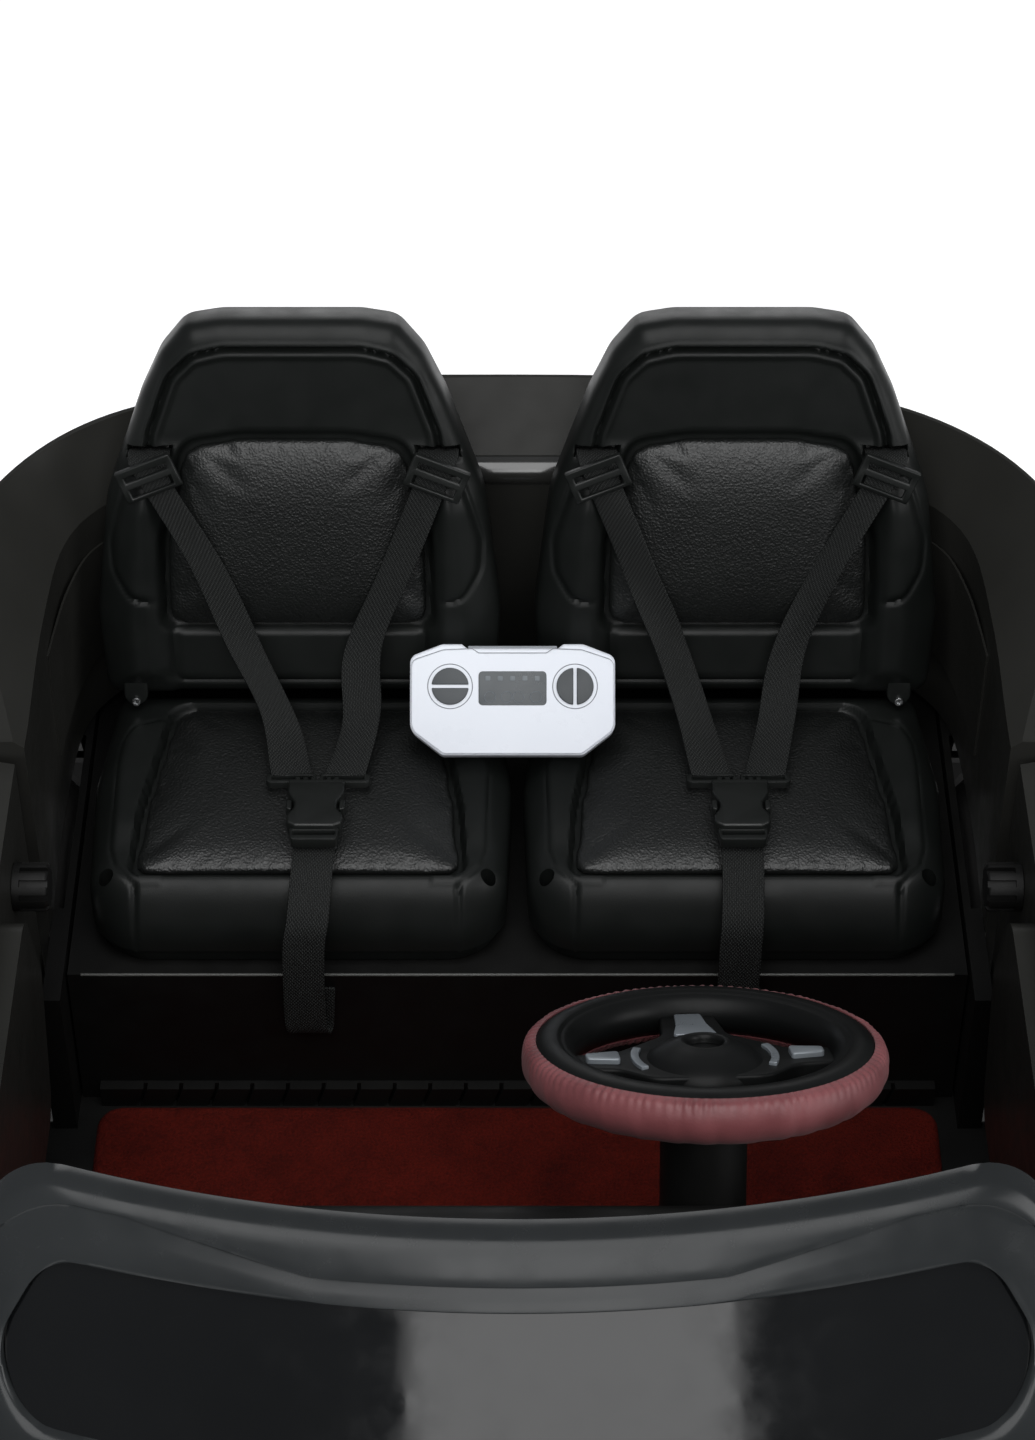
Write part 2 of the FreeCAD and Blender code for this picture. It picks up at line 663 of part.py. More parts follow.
def back_point(x, along, out):
    lean = math.radians(mm("back_lean"))
    y = mm("crease_line") + along * math.sin(lean) - out * math.cos(lean)
    z = mm("seat_level") + along * math.cos(lean) + out * math.sin(lean)
    return (x, y, z)


def shoulder_strap(name, centre, hub, side):
    lean = math.radians(mm("back_lean"))
    out = (0, -math.cos(lean), math.sin(lean))
    low = (0, -0.5, 0.87)
    flat = (1, 0, 0)
    skew = (1, 0.1 * side, 0.3 * side)
    stations = [
        (back_point(centre + side * 85, 164, -26), flat, (0, 0.31, 0.95)),
        (back_point(centre + side * 85, 163, 23.6), flat, (0, 0.1, 1)),
        (back_point(centre + side * 84, 158, 25), skew, out),
        (back_point(centre + side * 62, 100, 25), skew, out),
        (back_point(centre + side * 40, 46, 30), skew, out),
        ((hub + side * 24, 415, 312), skew, low),
        ((hub + side * 15, 376, 302), flat, (0, -0.25, 0.97)),
    ]
    return feature(name, ribbon(stations, mm("strap_width"), mm("strap_thick")))


def crotch_strap(name, hub, drop):
    flat = (1, 0, 0)
    path = [
        ((322, 301), (-0.2, 1)),
        ((300, 299), (-0.25, 0.97)),
        ((276, 284), (-0.85, 0.5)),
        ((268, 262), (-1, 0.15)),
        ((266, drop + 10), (-1, 0)),
        ((267, drop), (-0.9, -0.5)),
        ((270, drop - 3), (0, -1)),
        ((272.4, drop), (0.9, -0.5)),
        ((272.4, drop + 20), (1, 0)),
        ((272.8, 228), (1, 0)),
    ]
    stations = [((hub, y, z), flat, (0, ny, nz)) for (y, z), (ny, nz) in path]
    return feature(name, ribbon(stations, mm("strap_width"), mm("strap_thick")))


def buckle(name, hub):
    place = FreeCAD.Placement(V(hub, 347, 303), FreeCAD.Rotation(V(1, 0, 0), -5))
    clip = body_at(name, place)
    plan = both_sides([(12, -27, 3), (18, -20, 4), (15, -6, 6), (19, 8, 4), (19, 18, 4)])
    pad(clip, sketch(clip, rounded(plan), lift=-1), 13)
    soften(clip, level_edges(12), 2.5)
    pad(clip, sketch(clip, rectangle(-31, 15, 31, 35, 4), lift=-4), 4)
    slits = rectangle(2.2, 21, 28, 29, 1.5) + rectangle(-28, 21, -2.2, 29, 1.5)
    pocket(clip, sketch(clip, slits, lift=1), 8)
    return clip


def slider(name, centre, side):
    place = FreeCAD.Placement(V(*back_point(centre + side * 79, 146, 28.4)),
                              FreeCAD.Rotation(V(1, 0, 0), 90 - mm("back_lean")))
    place = place.multiply(FreeCAD.Placement(V(), FreeCAD.Rotation(V(0, 0, 1), -14 * side)))
    frame = body_at(name, place)
    pad(frame, sketch(frame, rectangle(-18, -11, 18, 11, 3)), 5)
    slits = rectangle(-13.5, 3, 13.5, 7, 1) + rectangle(-13.5, -7, 13.5, -3, 1)
    pocket(frame, sketch(frame, slits, lift=5), 6)
    return frame


hardware = []
screws = []
for side_name, sign, hub in (("left", 1, 134), ("right", -1, -121)):
    node(f"seat_base_{side_name}", seat_base(f"base_{side_name}", sign))
    node(f"seat_back_{side_name}", seat_back(f"back_{side_name}", sign))
    base_place = FreeCAD.Placement(V(sign * mm("base_offset"), mm("crease_line"), mm("bench_level")),
                                   FreeCAD.Rotation())
    back_place = FreeCAD.Placement(V(sign * mm("back_offset"), mm("crease_line"), mm("seat_level")),
                                   FreeCAD.Rotation(V(1, 0, 0), 90 - mm("back_lean")))
    node(f"base_pad_{side_name}", cushion(f"cushion_base_{side_name}", base_place, BASE_ROWS))
    node(f"back_pad_{side_name}", cushion(f"cushion_back_{side_name}", back_place, BACK_ROWS))
    centre = sign * mm("back_offset")
    straps = [
        shoulder_strap(f"strap_outer_{side_name}", centre, hub, sign),
        shoulder_strap(f"strap_inner_{side_name}", centre, hub, -sign),
        crotch_strap(f"strap_crotch_{side_name}", hub, 193 if sign < 0 else 205),
    ]
    node(f"harness_{side_name}", group(f"harness_{side_name}", *straps))
    hardware.append(buckle(f"buckle_{side_name}", hub))
    hardware.append(slider(f"slider_outer_{side_name}", centre, sign))
    hardware.append(slider(f"slider_inner_{side_name}", centre, -sign))
node("harness_hardware", group("harness_hardware", *hardware))


# Steering: wheel, cover, trim, buttons and shaft share the tilted column frame
column_place = FreeCAD.Placement(V(mm("column_offset"), mm("column_line"), mm("column_top")),
                                 FreeCAD.Rotation(V(1, 0, 0), -mm("column_tilt")))
wheel_place = column_place.multiply(FreeCAD.Placement(V(), FreeCAD.Rotation(V(0, 0, 1), mm("wheel_turn"))))
grip = mm("grip_radius")
thick = mm("grip_thick")

wheel = body_at("wheel_moulding", wheel_place)
HUB = [(0, -24), (23, -24), (35, -13, 4), (37, -2, 3), (27, 6, 12), (0, 9)]
turn(wheel, sketch(wheel, rounded(HUB), "XZ_Plane"))
SPOKES = [(-grip, -11), (-30, -12), (30, -12), (grip, -11), (grip, 11), (34, 13, 6), (20, 24, 10), (14, grip),
          (-14, grip), (-20, 24, 10), (-34, 13, 6), (-grip, 11)]
pad(wheel, sketch(wheel, rounded(SPOKES), lift=-11), 12)
turn(wheel, sketch(wheel, circle(grip, 0, thick), "XZ_Plane"))
seats = rectangle(44.4, -7.6, 63.6, 7.6, 3) + rectangle(-63.6, -7.6, -44.4, 7.6, 3)
pocket(wheel, sketch(wheel, seats, lift=2), 7)
node("steering_wheel", wheel)


def grip_arc(radius, start, stop):
    angles = [math.radians(start + (stop - start) * part) for part in (0, 0.5, 1)]
    return [V(grip + radius * math.cos(a), radius * math.sin(a), 0) for a in angles]


cover = body_at("cover_form", column_place)
skin_out = grip_arc(thick + 4, -118, 96)
skin_in = grip_arc(thick + 0.15, -118, 96)
cover_loop = [Part.Arc(*skin_out), Part.LineSegment(skin_out[2], skin_in[2]), Part.Arc(*skin_in[::-1]),
              Part.LineSegment(skin_in[0], skin_out[0])]
turn(cover, sketch(cover, cover_loop, "XZ_Plane"))
node("steering_cover", cover)

trim = body_at("trim_spoke", wheel_place)
pad(trim, sketch(trim, rounded([(-10.5, 38, 2), (10.5, 38, 2), (7.5, 65, 3), (-7.5, 65, 3)]), lift=1), 3)
trim_arcs = []
for side in (1, -1):
    arc = body_at("trim_arc", wheel_place)
    corners = [(side * 38, -9, 1), (side * 42, -9, 1), (side * 43, 9, 1), (side * 38, 9, 1)]
    pad(arc, sketch(arc, rounded(corners), lift=1), 3)
    trim_arcs.append(arc)
node("spoke_trim", group("spoke_trim", trim, *trim_arcs))

for side_name, side in (("left", 1), ("right", -1)):
    key = body_at(f"horn_{side_name}", wheel_place)
    pad(key, sketch(key, rectangle(side * 54 - 9, -7, side * 54 + 9, 7, 2.5), lift=-0.5), 4.5)
    soften(key, level_edges(4), 1)
    node(f"horn_button_{side_name}", key)

CRANK_LEVEL = -381
shaft = body_at("shaft_form", column_place)
SHAFT = [(0, -24), (23, -24), (23, -186), (7, -190), (7, CRANK_LEVEL), (0, CRANK_LEVEL)]
turn(shaft, sketch(shaft, rounded(SHAFT), "XZ_Plane"))
throw = mm("crank_length")
pad(shaft, sketch(shaft, rectangle(-8, -throw - 8, 8, 6, 6), lift=CRANK_LEVEL), 8)
pad(shaft, sketch(shaft, circle(0, -throw, 4), lift=CRANK_LEVEL - 22), 24)
node("steering_shaft", shaft)


# Front axle: beam with kingpins, knuckles with stub axles and arms, sliding tie plate
def beam_end(sign):
    king = sign * mm("king_offset")
    near_side, far_side = sorted((king - sign * 30, king + sign * 12))
    web = sorted((king - sign * 30, king - sign * 16))
    line = ("-axle_spread - 13", "13 - axle_spread")
    return [
        box("end_web", web, line, ("80", "149")),
        box("upper_lug", (near_side, far_side), line, ("141", "149")),
        box("lower_lug", (near_side, far_side), line, ("80", "88")),
        rod("kingpin", 6, (king, "-axle_spread", "78"), (0, 0, 1), 72),
    ]


beam_bar = box("beam_bar", ("-240", "240"), ("-axle_spread - 10", "10 - axle_spread"), ("104", "126"))
feet = [box("beam_foot", (low, high), ("-axle_spread - 20", "20 - axle_spread"), ("120", "deck_level - 6"))
        for low, high in ((60, 100), (-100, -60))]
node("front_beam", join("front_beam", beam_bar, *feet, *beam_end(1), *beam_end(-1)))

for side_name, sign in (("left", 1), ("right", -1)):
    king = sign * mm("king_offset")
    arm_end = "-axle_spread - arm_length"
    barrel = rod("knuckle_barrel", 13, (king, "-axle_spread", 90), (0, 0, 1), 49)
    stub = rod("stub_axle", 6, (king, "-axle_spread", "axle_level"), (sign, 0, 0), 83.7)
    collar = rod("stub_collar", 11, (king, "-axle_spread", "axle_level"), (sign, 0, 0), 26)
    arm = box("knuckle_arm", (king - 7, king + 7), (f"{arm_end} - 8", "-axle_spread"), (93, 100))
    pin = rod("arm_pin", 4, (king, arm_end, 76), (0, 0, 1), 18)
    bore = rod("king_bore", 6.06, (king, "-axle_spread", 60), (0, 0, 1), 120)
    solid = join(f"knuckle_solid_{side_name}", barrel, stub, collar, arm, pin)
    node(f"knuckle_{side_name}", cut(f"knuckle_{side_name}", solid, bore))

PLATE_Z = (84, 88)
FORK_END = -157
tie_bar = box("tie_bar", ("-king_offset - 14", "king_offset + 14"),
              ("-axle_spread - arm_length - 11", "11 - axle_spread - arm_length"), PLATE_Z)
tie_tongue = box("tie_tongue", ("column_offset - 16", "column_offset + 16"),
                 ("-axle_spread - arm_length", FORK_END), PLATE_Z)
tie_slots = [box("tie_slot", (f"{king} - 5.2", f"{king} + 5.2"),
                 ("-axle_spread - arm_length - 7", "9 - axle_spread - arm_length"), (80, 92))
             for king in ("king_offset", "-king_offset")]
crank_slot = box("crank_slot", ("column_offset - 5.4", "column_offset + 5.4"), (FORK_END - 26, FORK_END + 5),
                 (80, 92))
tie_solid = join("tie_solid", tie_bar, tie_tongue)
node("tie_plate", cut("tie_plate", tie_solid, *tie_slots, crank_slot))


# Rear drive: axle, gearboxes, motors, battery, control box
axle_reach = "wheel_offset + 23.7"
node("rear_axle", rod("rear_axle", 6, (f"-({axle_reach})", "axle_spread", "axle_level"), (1, 0, 0),
                      f"2 * ({axle_reach})"))
gear_left = cut(
    "gear_left",
    join(
        "gear_joined",
        rod("gear_big", 32, ("222", "axle_spread", "axle_level"), (1, 0, 0), 46),
        rod("gear_small", 26, ("222", "axle_spread - 62", "axle_level"), (1, 0, 0), 46),
        box("gear_mid", ("222", "268"), ("axle_spread - 62", "axle_spread"),
            ("axle_level - 25", "axle_level + 25")),
        box("gear_foot", ("226", "264"), ("axle_spread - 66", "axle_spread + 14"),
            ("axle_level", "deck_level - 6")),
    ),
    rod("gear_bore", 6.06, ("200", "axle_spread", "axle_level"), (1, 0, 0), 100),
)
node("gearboxes", group("gearboxes", gear_left, mirrored("gear_right", gear_left)))
motor_left = join(
    "motor_left",
    rod("motor_can", 20, ("150", "axle_spread - 62", "axle_level"), (1, 0, 0), 72),
    rod("motor_end", 9, ("142", "axle_spread - 62", "axle_level"), (1, 0, 0), 10),
)
node("drive_motors", group("drive_motors", motor_left, mirrored("motor_right", motor_left)))
battery_block = box("battery_block", (-76, 76), (400, 494), ("deck_level", "deck_level + 62"))
terminals = [box("terminal", (x - 5, x + 5), (408, 416), ("deck_level + 61", "deck_level + 68"))
             for x in (-55, 55)]
node("battery", join("battery", battery_block, *terminals))
control = body_at("control_form", FreeCAD.Placement(V(-180, 360, mm("deck_level")), FreeCAD.Rotation()))
pad(control, sketch(control, rectangle(-50, -32, 50, 32, 5)), 34)
soften(control, level_edges(34), 3)
node("control_box", control)


# Wheels: tyre with shoulder blocks and a five-window rim, in a frame whose +X faces outward
TYRE = [(-33, 78), (-40, 90, 8), (-40, 105, 8), (-30, 115, 9), (30, 115, 9), (40, 105, 8), (40, 90, 8),
        (33, 78)]
RIM = [(-30, 6.06), (24, 6.06), (24, 0), (34, 0), (34, 9, 3), (28, 20, 4), (19, 27, 4), (13, 58, 6),
       (20, 70, 6), (34, 72), (36, 78), (-36, 78), (-34, 72), (4, 70, 6), (3, 57, 6), (9, 27, 4), (-6, 22, 3),
       (-30, 22)]


def wheel_window(count):
    angle = math.radians(360 / count)
    corners = []
    for radius, spread, rounding in ((33, 0.27, 3), (62, 0.33, 6), (62, -0.33, 6), (33, -0.27, 3)):
        corners.append((radius * math.sin(angle * spread), radius * math.cos(angle * spread), rounding))
    return rounded(corners)


def wheel_set(name, sign, line):
    facing = FreeCAD.Rotation(V(0, 0, 1), 0 if sign > 0 else 180)
    place = FreeCAD.Placement(V(sign * mm("wheel_offset"), line, mm("axle_level")), facing)
    tyre = body_at("tyre_form", place)
    profile = sketch(tyre, rounded(TYRE), "XZ_Plane")
    turn(tyre, profile, "H_Axis")
    blocks = rounded([(8, -5), (44, -2), (44, 5), (8, 2)]) + rounded([(-44, -5), (-8, -2), (-8, 5), (-44, 2)])
    groove = pocket(tyre, sketch(tyre, blocks, lift="tyre_radius + 2"), 7)
    repeat(tyre, groove, profile, "H_Axis", 26)
    node(f"tyre_{name}", tyre)
    rim = body_at("rim_form", place)
    rim_profile = sketch(rim, rounded(RIM), "XZ_Plane")
    turn(rim, rim_profile, "H_Axis")
    window = pocket(rim, sketch(rim, wheel_window(5), "YZ_Plane", 40), 50)
    repeat(rim, window, rim_profile, "H_Axis", 5)
    node(f"rim_{name}", rim)


for end_name, line in (("front", -mm("axle_spread")), ("rear", mm("axle_spread"))):
    wheel_set(f"{end_name}_left", 1, line)
    wheel_set(f"{end_name}_right", -1, line)


# Doors: hollow skins hung on pins outside the front edge, with an inner panel and a lock knob
hinge_x = 371
hinge_y = -62
door_zone = box("door_zone", ("cabin_half + 4", "500"), ("door_front", "door_rear"),
                ("sill_top + 3", "door_top"))
door_space = box("door_space", ("cabin_half + 10", "500"), ("door_front + 6", "door_rear - 14"),
                 ("sill_top + 9", "door_top - 6"))
swing_room = rod("swing_room", f"door_rear + {2.5 - hinge_y}", (hinge_x, hinge_y, 0), (0, 0, 1), 500)
door_arch = arch_tools("door_arch", "rear_arch", "axle_spread", 276)
door_arch_in = arch_tools("door_arch_in", "rear_arch + skin_wall", "axle_spread", 276)
door_block = cut("door_block", common("door_form", outer, door_zone, swing_room), door_arch)
door_void = cut("door_void", common("door_inside", inner, door_space), door_arch_in)
door_skin = cut("door_skin", door_block, door_void)
panel = body_at("door_panel", FreeCAD.Placement(V(mm("cabin_half") + 4, 0, 0), FreeCAD.Rotation()))
PANEL = [(8, 206, 30), (196, 206, 20), (222, 300, 20), (196, 372, 20), (8, 372, 30)]
pad(panel, sketch(panel, rounded(PANEL), "YZ_Plane", -13), 14)
knuckles = []
for low in (204, 318):
    knuckles.append(rod("door_knuckle", 8, (hinge_x, hinge_y, low), (0, 0, 1), 26))
    knuckles.append(box("door_strap", (348, hinge_x), (hinge_y - 3, hinge_y + 22), (low, low + 26)))
pin_bore = rod("pin_bore", 4.06, (hinge_x, hinge_y, 180), (0, 0, 1), 190)
knob_bore = rod("knob_bore", 6.08, ("cabin_half - 20", "242", "347"), (1, 0, 0), 60)
strap_set = cut("strap_set", join("door_straps", *knuckles), common("strap_trim", inner, door_space))
door_left = cut("door_left", join("door_joined", door_skin, panel, strap_set), pin_bore, knob_bore)
node("door_left", door_left)
node("door_right", mirrored("door_right", door_left))

pins = []
for low in (204, 318):
    pins.append(rod("hinge_pin", 4, (hinge_x, hinge_y, low - 12), (0, 0, 1), 50))
    for base in (low - 12, low + 27):
        pins.append(rod("hinge_eye", 8, (hinge_x, hinge_y, base), (0, 0, 1), 11))
        leaf = box("hinge_leaf", (340, hinge_x), (hinge_y - 34, hinge_y - 4), (base, base + 11))
        pins.append(cut("hinge_tab", leaf, outer))
hinges_left = join("hinges_left", *pins)
node("door_hinges", group("door_hinges", hinges_left, mirrored("hinges_right", hinges_left)))

for side_name, sign in (("left", 1), ("right", -1)):
    turned = FreeCAD.Rotation(V(0, 1, 0), -90 * sign)
    spot = V(sign * (mm("cabin_half") + 3.6), 242, 347)
    knob = body_at(f"lock_{side_name}", FreeCAD.Placement(spot, turned))
    pad(knob, sketch(knob, circle(0, 0, 14)), 20)
    soften(knob, level_edges(20), 2)
    notch_line = sketch(knob, rounded([(11, -2), (16, -2), (16, 2), (11, 2)]), lift=20)
    notch = pocket(knob, notch_line, 16)
    repeat(knob, notch, notch_line, "N_Axis", 10)
    pad(knob, sketch(knob, circle(0, 0, 6), lift=-12), 12)
    node(f"door_knob_{side_name}", knob)


# Accelerator pedal on its rod
pedal = body_at("pedal_form", FreeCAD.Placement(V(0, -70, mm("floor_level") + 15), FreeCAD.Rotation()))
PEDAL = [(4, -3), (4, 4), (-70, 52, 2), (-74, 47, 2), (-3, -5)]
pad(pedal, sketch(pedal, rounded(PEDAL), "YZ_Plane", 15), 60)
pad(pedal, sketch(pedal, circle(0, 0, 4), "YZ_Plane", 4), 82)
node("accelerator_pedal", pedal)


# Seat screws: round heads with shanks at the bracket lugs beside the seat creases
for sign in (1, -1):
    for reach in (108, -108):
        x = sign * mm("base_offset") + reach
        head = rod("screw_head", 6, (x, 437, "seat_level + 4"), (0, 0, 1), 3)
        screws.append(head)
node("seat_screws", group("seat_screws", *screws))


# Remote: a leaning hand box with two rocker keys and a display window
remote_tilt = 48
remote_place = FreeCAD.Placement(V(-3, 411.4, 333), FreeCAD.Rotation(V(1, 0, 0), 90 - remote_tilt))
half_w = mm("remote_width") / 2
half_h = mm("remote_height") / 2
case = body_at("case_form", remote_place)
CASE = [(half_w - 24, -half_h, 4), (half_w - 8, -half_h + 3, 6), (half_w, -half_h + 14, 8),
        (half_w, half_h - 8, 6), (half_w - 14, half_h, 8), (40, half_h, 3), (36, half_h - 3, 3)]
pad(case, sketch(case, rounded(both_sides(CASE)), lift="-remote_thick"), "remote_thick")
soften(case, level_edges(0), 3.5)
soften(case, level_edges(-mm("remote_thick")), 5)
key_holes = circle(-37, 9, 13.6) + circle(37, 9, 13.6)
pocket(case, sketch(case, key_holes), 9)
screen = rectangle(-20, -3, 20, 21, 2.5)
pocket(case, sketch(case, screen), 1.2)

PIVOT_DEPTH = -3.2
sockets = []
for key_name, x, level in (("drive", -37, True), ("steer", 37, False)):
    rocker = body_at(f"rocker_{key_name}", remote_place)
    pad(rocker, sketch(rocker, circle(x, 9, 12.9), lift=-5.5), 7)
    soften(rocker, level_edges(1.5), 1.5)
    bar = rectangle(x - 14, 8.2, x + 14, 9.8) if level else rectangle(x - 0.8, -5, x + 0.8, 23)
    pocket(rocker, sketch(rocker, bar, lift=3), 2.4)
    along = (1, 0, 0) if level else tuple(remote_place.Rotation.multVec(V(0, 1, 0)))
    heart = remote_place.multVec(V(x, 9, PIVOT_DEPTH))
    pivot = rod(f"pivot_{key_name}", 1.4, tuple(heart - V(*along) * 16), along, 32)
    sockets.append(rod(f"socket_{key_name}", 1.46, tuple(heart - V(*along) * 17), along, 34))
    node(f"remote_{key_name}_key", join(f"remote_{key_name}_key", rocker, pivot))
node("remote_case", cut("remote_case", case, *sockets))


# Recompute, check and write every node
doc.recompute()
os.makedirs("parts", exist_ok=True)
faults = [f"{item.Name} {item.State}" for item in doc.Objects
          if "Invalid" in item.State or "Error" in item.State]
faults += [f"{name} has no valid solid" for name, item in nodes.items()
           if item.Shape.isNull() or not item.Shape.isValid() or not item.Shape.Solids]
if faults:
    raise RuntimeError("; ".join(faults))
for name, item in nodes.items():
    item.Shape.exportStep(f"parts/{name}.step")
print(len(nodes), "nodes")
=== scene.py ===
import math

import bpy
import numpy as np
from mathutils import Matrix, Vector


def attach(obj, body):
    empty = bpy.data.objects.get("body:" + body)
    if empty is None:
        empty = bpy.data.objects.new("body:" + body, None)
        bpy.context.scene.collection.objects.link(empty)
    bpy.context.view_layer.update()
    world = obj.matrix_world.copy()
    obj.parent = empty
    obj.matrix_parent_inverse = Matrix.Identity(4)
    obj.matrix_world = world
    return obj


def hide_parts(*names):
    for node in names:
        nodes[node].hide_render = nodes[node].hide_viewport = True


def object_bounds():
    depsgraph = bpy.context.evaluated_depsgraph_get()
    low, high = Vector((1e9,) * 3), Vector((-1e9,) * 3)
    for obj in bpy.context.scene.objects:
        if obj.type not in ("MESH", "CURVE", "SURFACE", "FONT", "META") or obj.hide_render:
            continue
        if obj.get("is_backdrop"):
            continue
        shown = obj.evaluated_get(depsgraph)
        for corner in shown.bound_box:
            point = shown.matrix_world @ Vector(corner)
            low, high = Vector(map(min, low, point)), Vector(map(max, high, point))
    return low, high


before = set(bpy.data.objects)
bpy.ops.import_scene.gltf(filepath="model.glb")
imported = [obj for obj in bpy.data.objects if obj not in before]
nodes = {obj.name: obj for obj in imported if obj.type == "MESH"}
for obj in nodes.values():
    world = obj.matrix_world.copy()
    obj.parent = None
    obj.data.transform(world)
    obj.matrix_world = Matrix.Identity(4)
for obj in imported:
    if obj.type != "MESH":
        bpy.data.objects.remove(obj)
bpy.context.view_layer.update()
cadLow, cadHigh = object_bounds()
mm = 0.001
print("frame loaded:", len(nodes), "nodes")


# selection and edit-mode helpers
def deselect():
    if bpy.context.mode != "OBJECT":
        bpy.ops.object.mode_set(mode="OBJECT")
    bpy.ops.object.select_all(action="DESELECT")


def activate(piece):
    deselect()
    piece.select_set(True)
    bpy.context.view_layer.objects.active = piece
    return piece


def newest(name):
    piece = bpy.context.object
    piece.name = piece.data.name = name
    return piece


def pickFaces(piece, test):
    activate(piece)
    bpy.context.tool_settings.mesh_select_mode = (False, False, True)
    mesh = piece.data
    for group in (mesh.vertices, mesh.edges, mesh.polygons):
        group.foreach_set("select", [False] * len(group))
    for face in mesh.polygons:
        face.select = bool(test(face))
    bpy.ops.object.mode_set(mode="EDIT")


def pickRim(piece):
    activate(piece)
    bpy.context.tool_settings.mesh_select_mode = (False, True, False)
    bpy.ops.object.mode_set(mode="EDIT")
    bpy.ops.mesh.select_all(action="DESELECT")
    bpy.ops.mesh.select_non_manifold()


def pickAll(piece):
    activate(piece)
    bpy.ops.object.mode_set(mode="EDIT")
    bpy.ops.mesh.select_all(action="SELECT")


def leave():
    bpy.ops.object.mode_set(mode="OBJECT")


def gridPiece(name, across, along, size=1):
    deselect()
    bpy.ops.mesh.primitive_grid_add(x_subdivisions=across, y_subdivisions=along, size=size)
    return newest(name)


def rod(name, sides, radius, depth):
    deselect()
    bpy.ops.mesh.primitive_cylinder_add(vertices=sides, radius=radius * mm, depth=depth * mm)
    return newest(name)


def disc(name, sides):
    deselect()
    bpy.ops.mesh.primitive_circle_add(vertices=sides, radius=1, fill_type="NGON")
    return newest(name)


def points(piece):
    flat = np.zeros(len(piece.data.vertices) * 3)
    piece.data.vertices.foreach_get("co", flat)
    return flat.reshape(-1, 3)


def reshape(piece, spots):
    piece.data.vertices.foreach_set("co", np.asarray(spots, float).ravel())
    piece.data.update()


def gridStep(place, count):
    return np.rint((place + 0.5) * count).astype(int)  # row or column numbers on a grid of size 1


def layOut(piece, x, y, z):
    reshape(piece, np.stack([x, y, z], axis=1) * mm)


def shifted(*place):
    return Matrix.Translation(Vector(place) * mm)


def turned(degrees, axis):
    return Matrix.Rotation(math.radians(degrees), 4, axis)


def modify(piece, kind, **settings):
    activate(piece)
    modifier = piece.modifiers.new(kind.title(), kind)
    for name, value in settings.items():
        setattr(modifier, name, value)
    bpy.ops.object.modifier_apply(modifier=modifier.name)
    return piece


def roundEdges(piece, width, segments=2, angle=0.9):
    return modify(piece, "BEVEL", width=width * mm, segments=segments, limit_method="ANGLE", angle_limit=angle)


def drillOut(piece, drill):
    modify(piece, "BOOLEAN", operation="DIFFERENCE", object=drill, solver="EXACT")
    bpy.data.objects.remove(drill)
    return piece


def tidyNormals(piece, merge=0.00002):
    pickAll(piece)
    bpy.ops.mesh.remove_doubles(threshold=merge)
    bpy.ops.mesh.normals_make_consistent(inside=False)
    leave()
    return piece


def fuse(name, pieces):
    deselect()
    for piece in pieces:
        piece.select_set(True)
    bpy.context.view_layer.objects.active = pieces[0]
    bpy.ops.object.join()
    return newest(name)


def copyOf(piece, name):
    twin = piece.copy()
    twin.data = piece.data.copy()
    twin.name = twin.data.name = name
    bpy.context.scene.collection.objects.link(twin)
    return twin


def wear(piece, skin):
    piece.data.materials.clear()
    piece.data.materials.append(skin)


def dress(skin, *names):
    for name in names:
        wear(nodes[name], skin)


# a finished piece is set into its frame and rides on its body; stands names the nodes that it takes the place of
def mount(piece, body, skin, slot, stands=(), smooth=35, into=None):
    if into is not None:
        piece.data.transform(into)
    activate(piece)
    bpy.ops.object.transform_apply(location=True, rotation=True, scale=True)
    bpy.ops.object.shade_smooth_by_angle(angle=math.radians(smooth))
    wear(piece, skin)
    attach(piece, body)
    if stands:
        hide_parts(*stands)
    return piece


# outlines: corners (x, y, radius) in mm become a closed loop of points
def roundedLoop(corners, spacing=3.0):
    loop = []
    count = len(corners)
    for i in range(count):
        x, y, radius = corners[i]
        here = np.array((x, y), float)
        before = np.array(corners[i - 1][:2], float) - here
        after = np.array(corners[(i + 1) % count][:2], float) - here
        before /= np.linalg.norm(before)
        after /= np.linalg.norm(after)
        half = math.acos(max(-1, min(1, before @ after))) / 2
        if radius < 0.01 or half > 1.565:
            loop.append(here)
            continue
        middle = here + (before + after) / np.linalg.norm(before + after) * radius / math.sin(half)
        start = here + before * radius / math.tan(half) - middle
        stop = here + after * radius / math.tan(half) - middle
        sweep = math.pi - 2 * half
        turn = 1 if start[0] * stop[1] - start[1] * stop[0] > 0 else -1
        steps = max(2, int(radius * sweep / spacing) + 1)
        for step in range(steps + 1):
            angle = turn * sweep * step / steps
            c, s = math.cos(angle), math.sin(angle)
            loop.append(middle + np.array((start[0] * c - start[1] * s, start[0] * s + start[1] * c)))
    return np.array(loop)


def bothSides(half):
    return list(half) + [(-x, y, r) for x, y, r in reversed(half)]


def halfLoop(half, spacing=3.0):
    return roundedLoop(bothSides(half), spacing)


def depthInside(spots, loop):
    near = np.full(len(spots), 1e9)
    inside = np.zeros(len(spots), bool)
    for p, q in zip(loop, np.roll(loop, -1, axis=0)):
        edge = q - p
        size = edge @ edge
        if size < 1e-9:
            continue
        share = np.clip((spots - p) @ edge / size, 0, 1)
        near = np.minimum(near, np.hypot(*(spots - p - share[:, None] * edge).T))
        if p[1] != q[1]:
            level = (p[1] > spots[:, 1]) != (q[1] > spots[:, 1])
            inside ^= level & (spots[:, 0] < edge[0] * (spots[:, 1] - p[1]) / edge[1] + p[0])
    return np.where(inside, near, -near)


def depthInHalf(spots, half):
    return depthInside(spots, halfLoop(half))


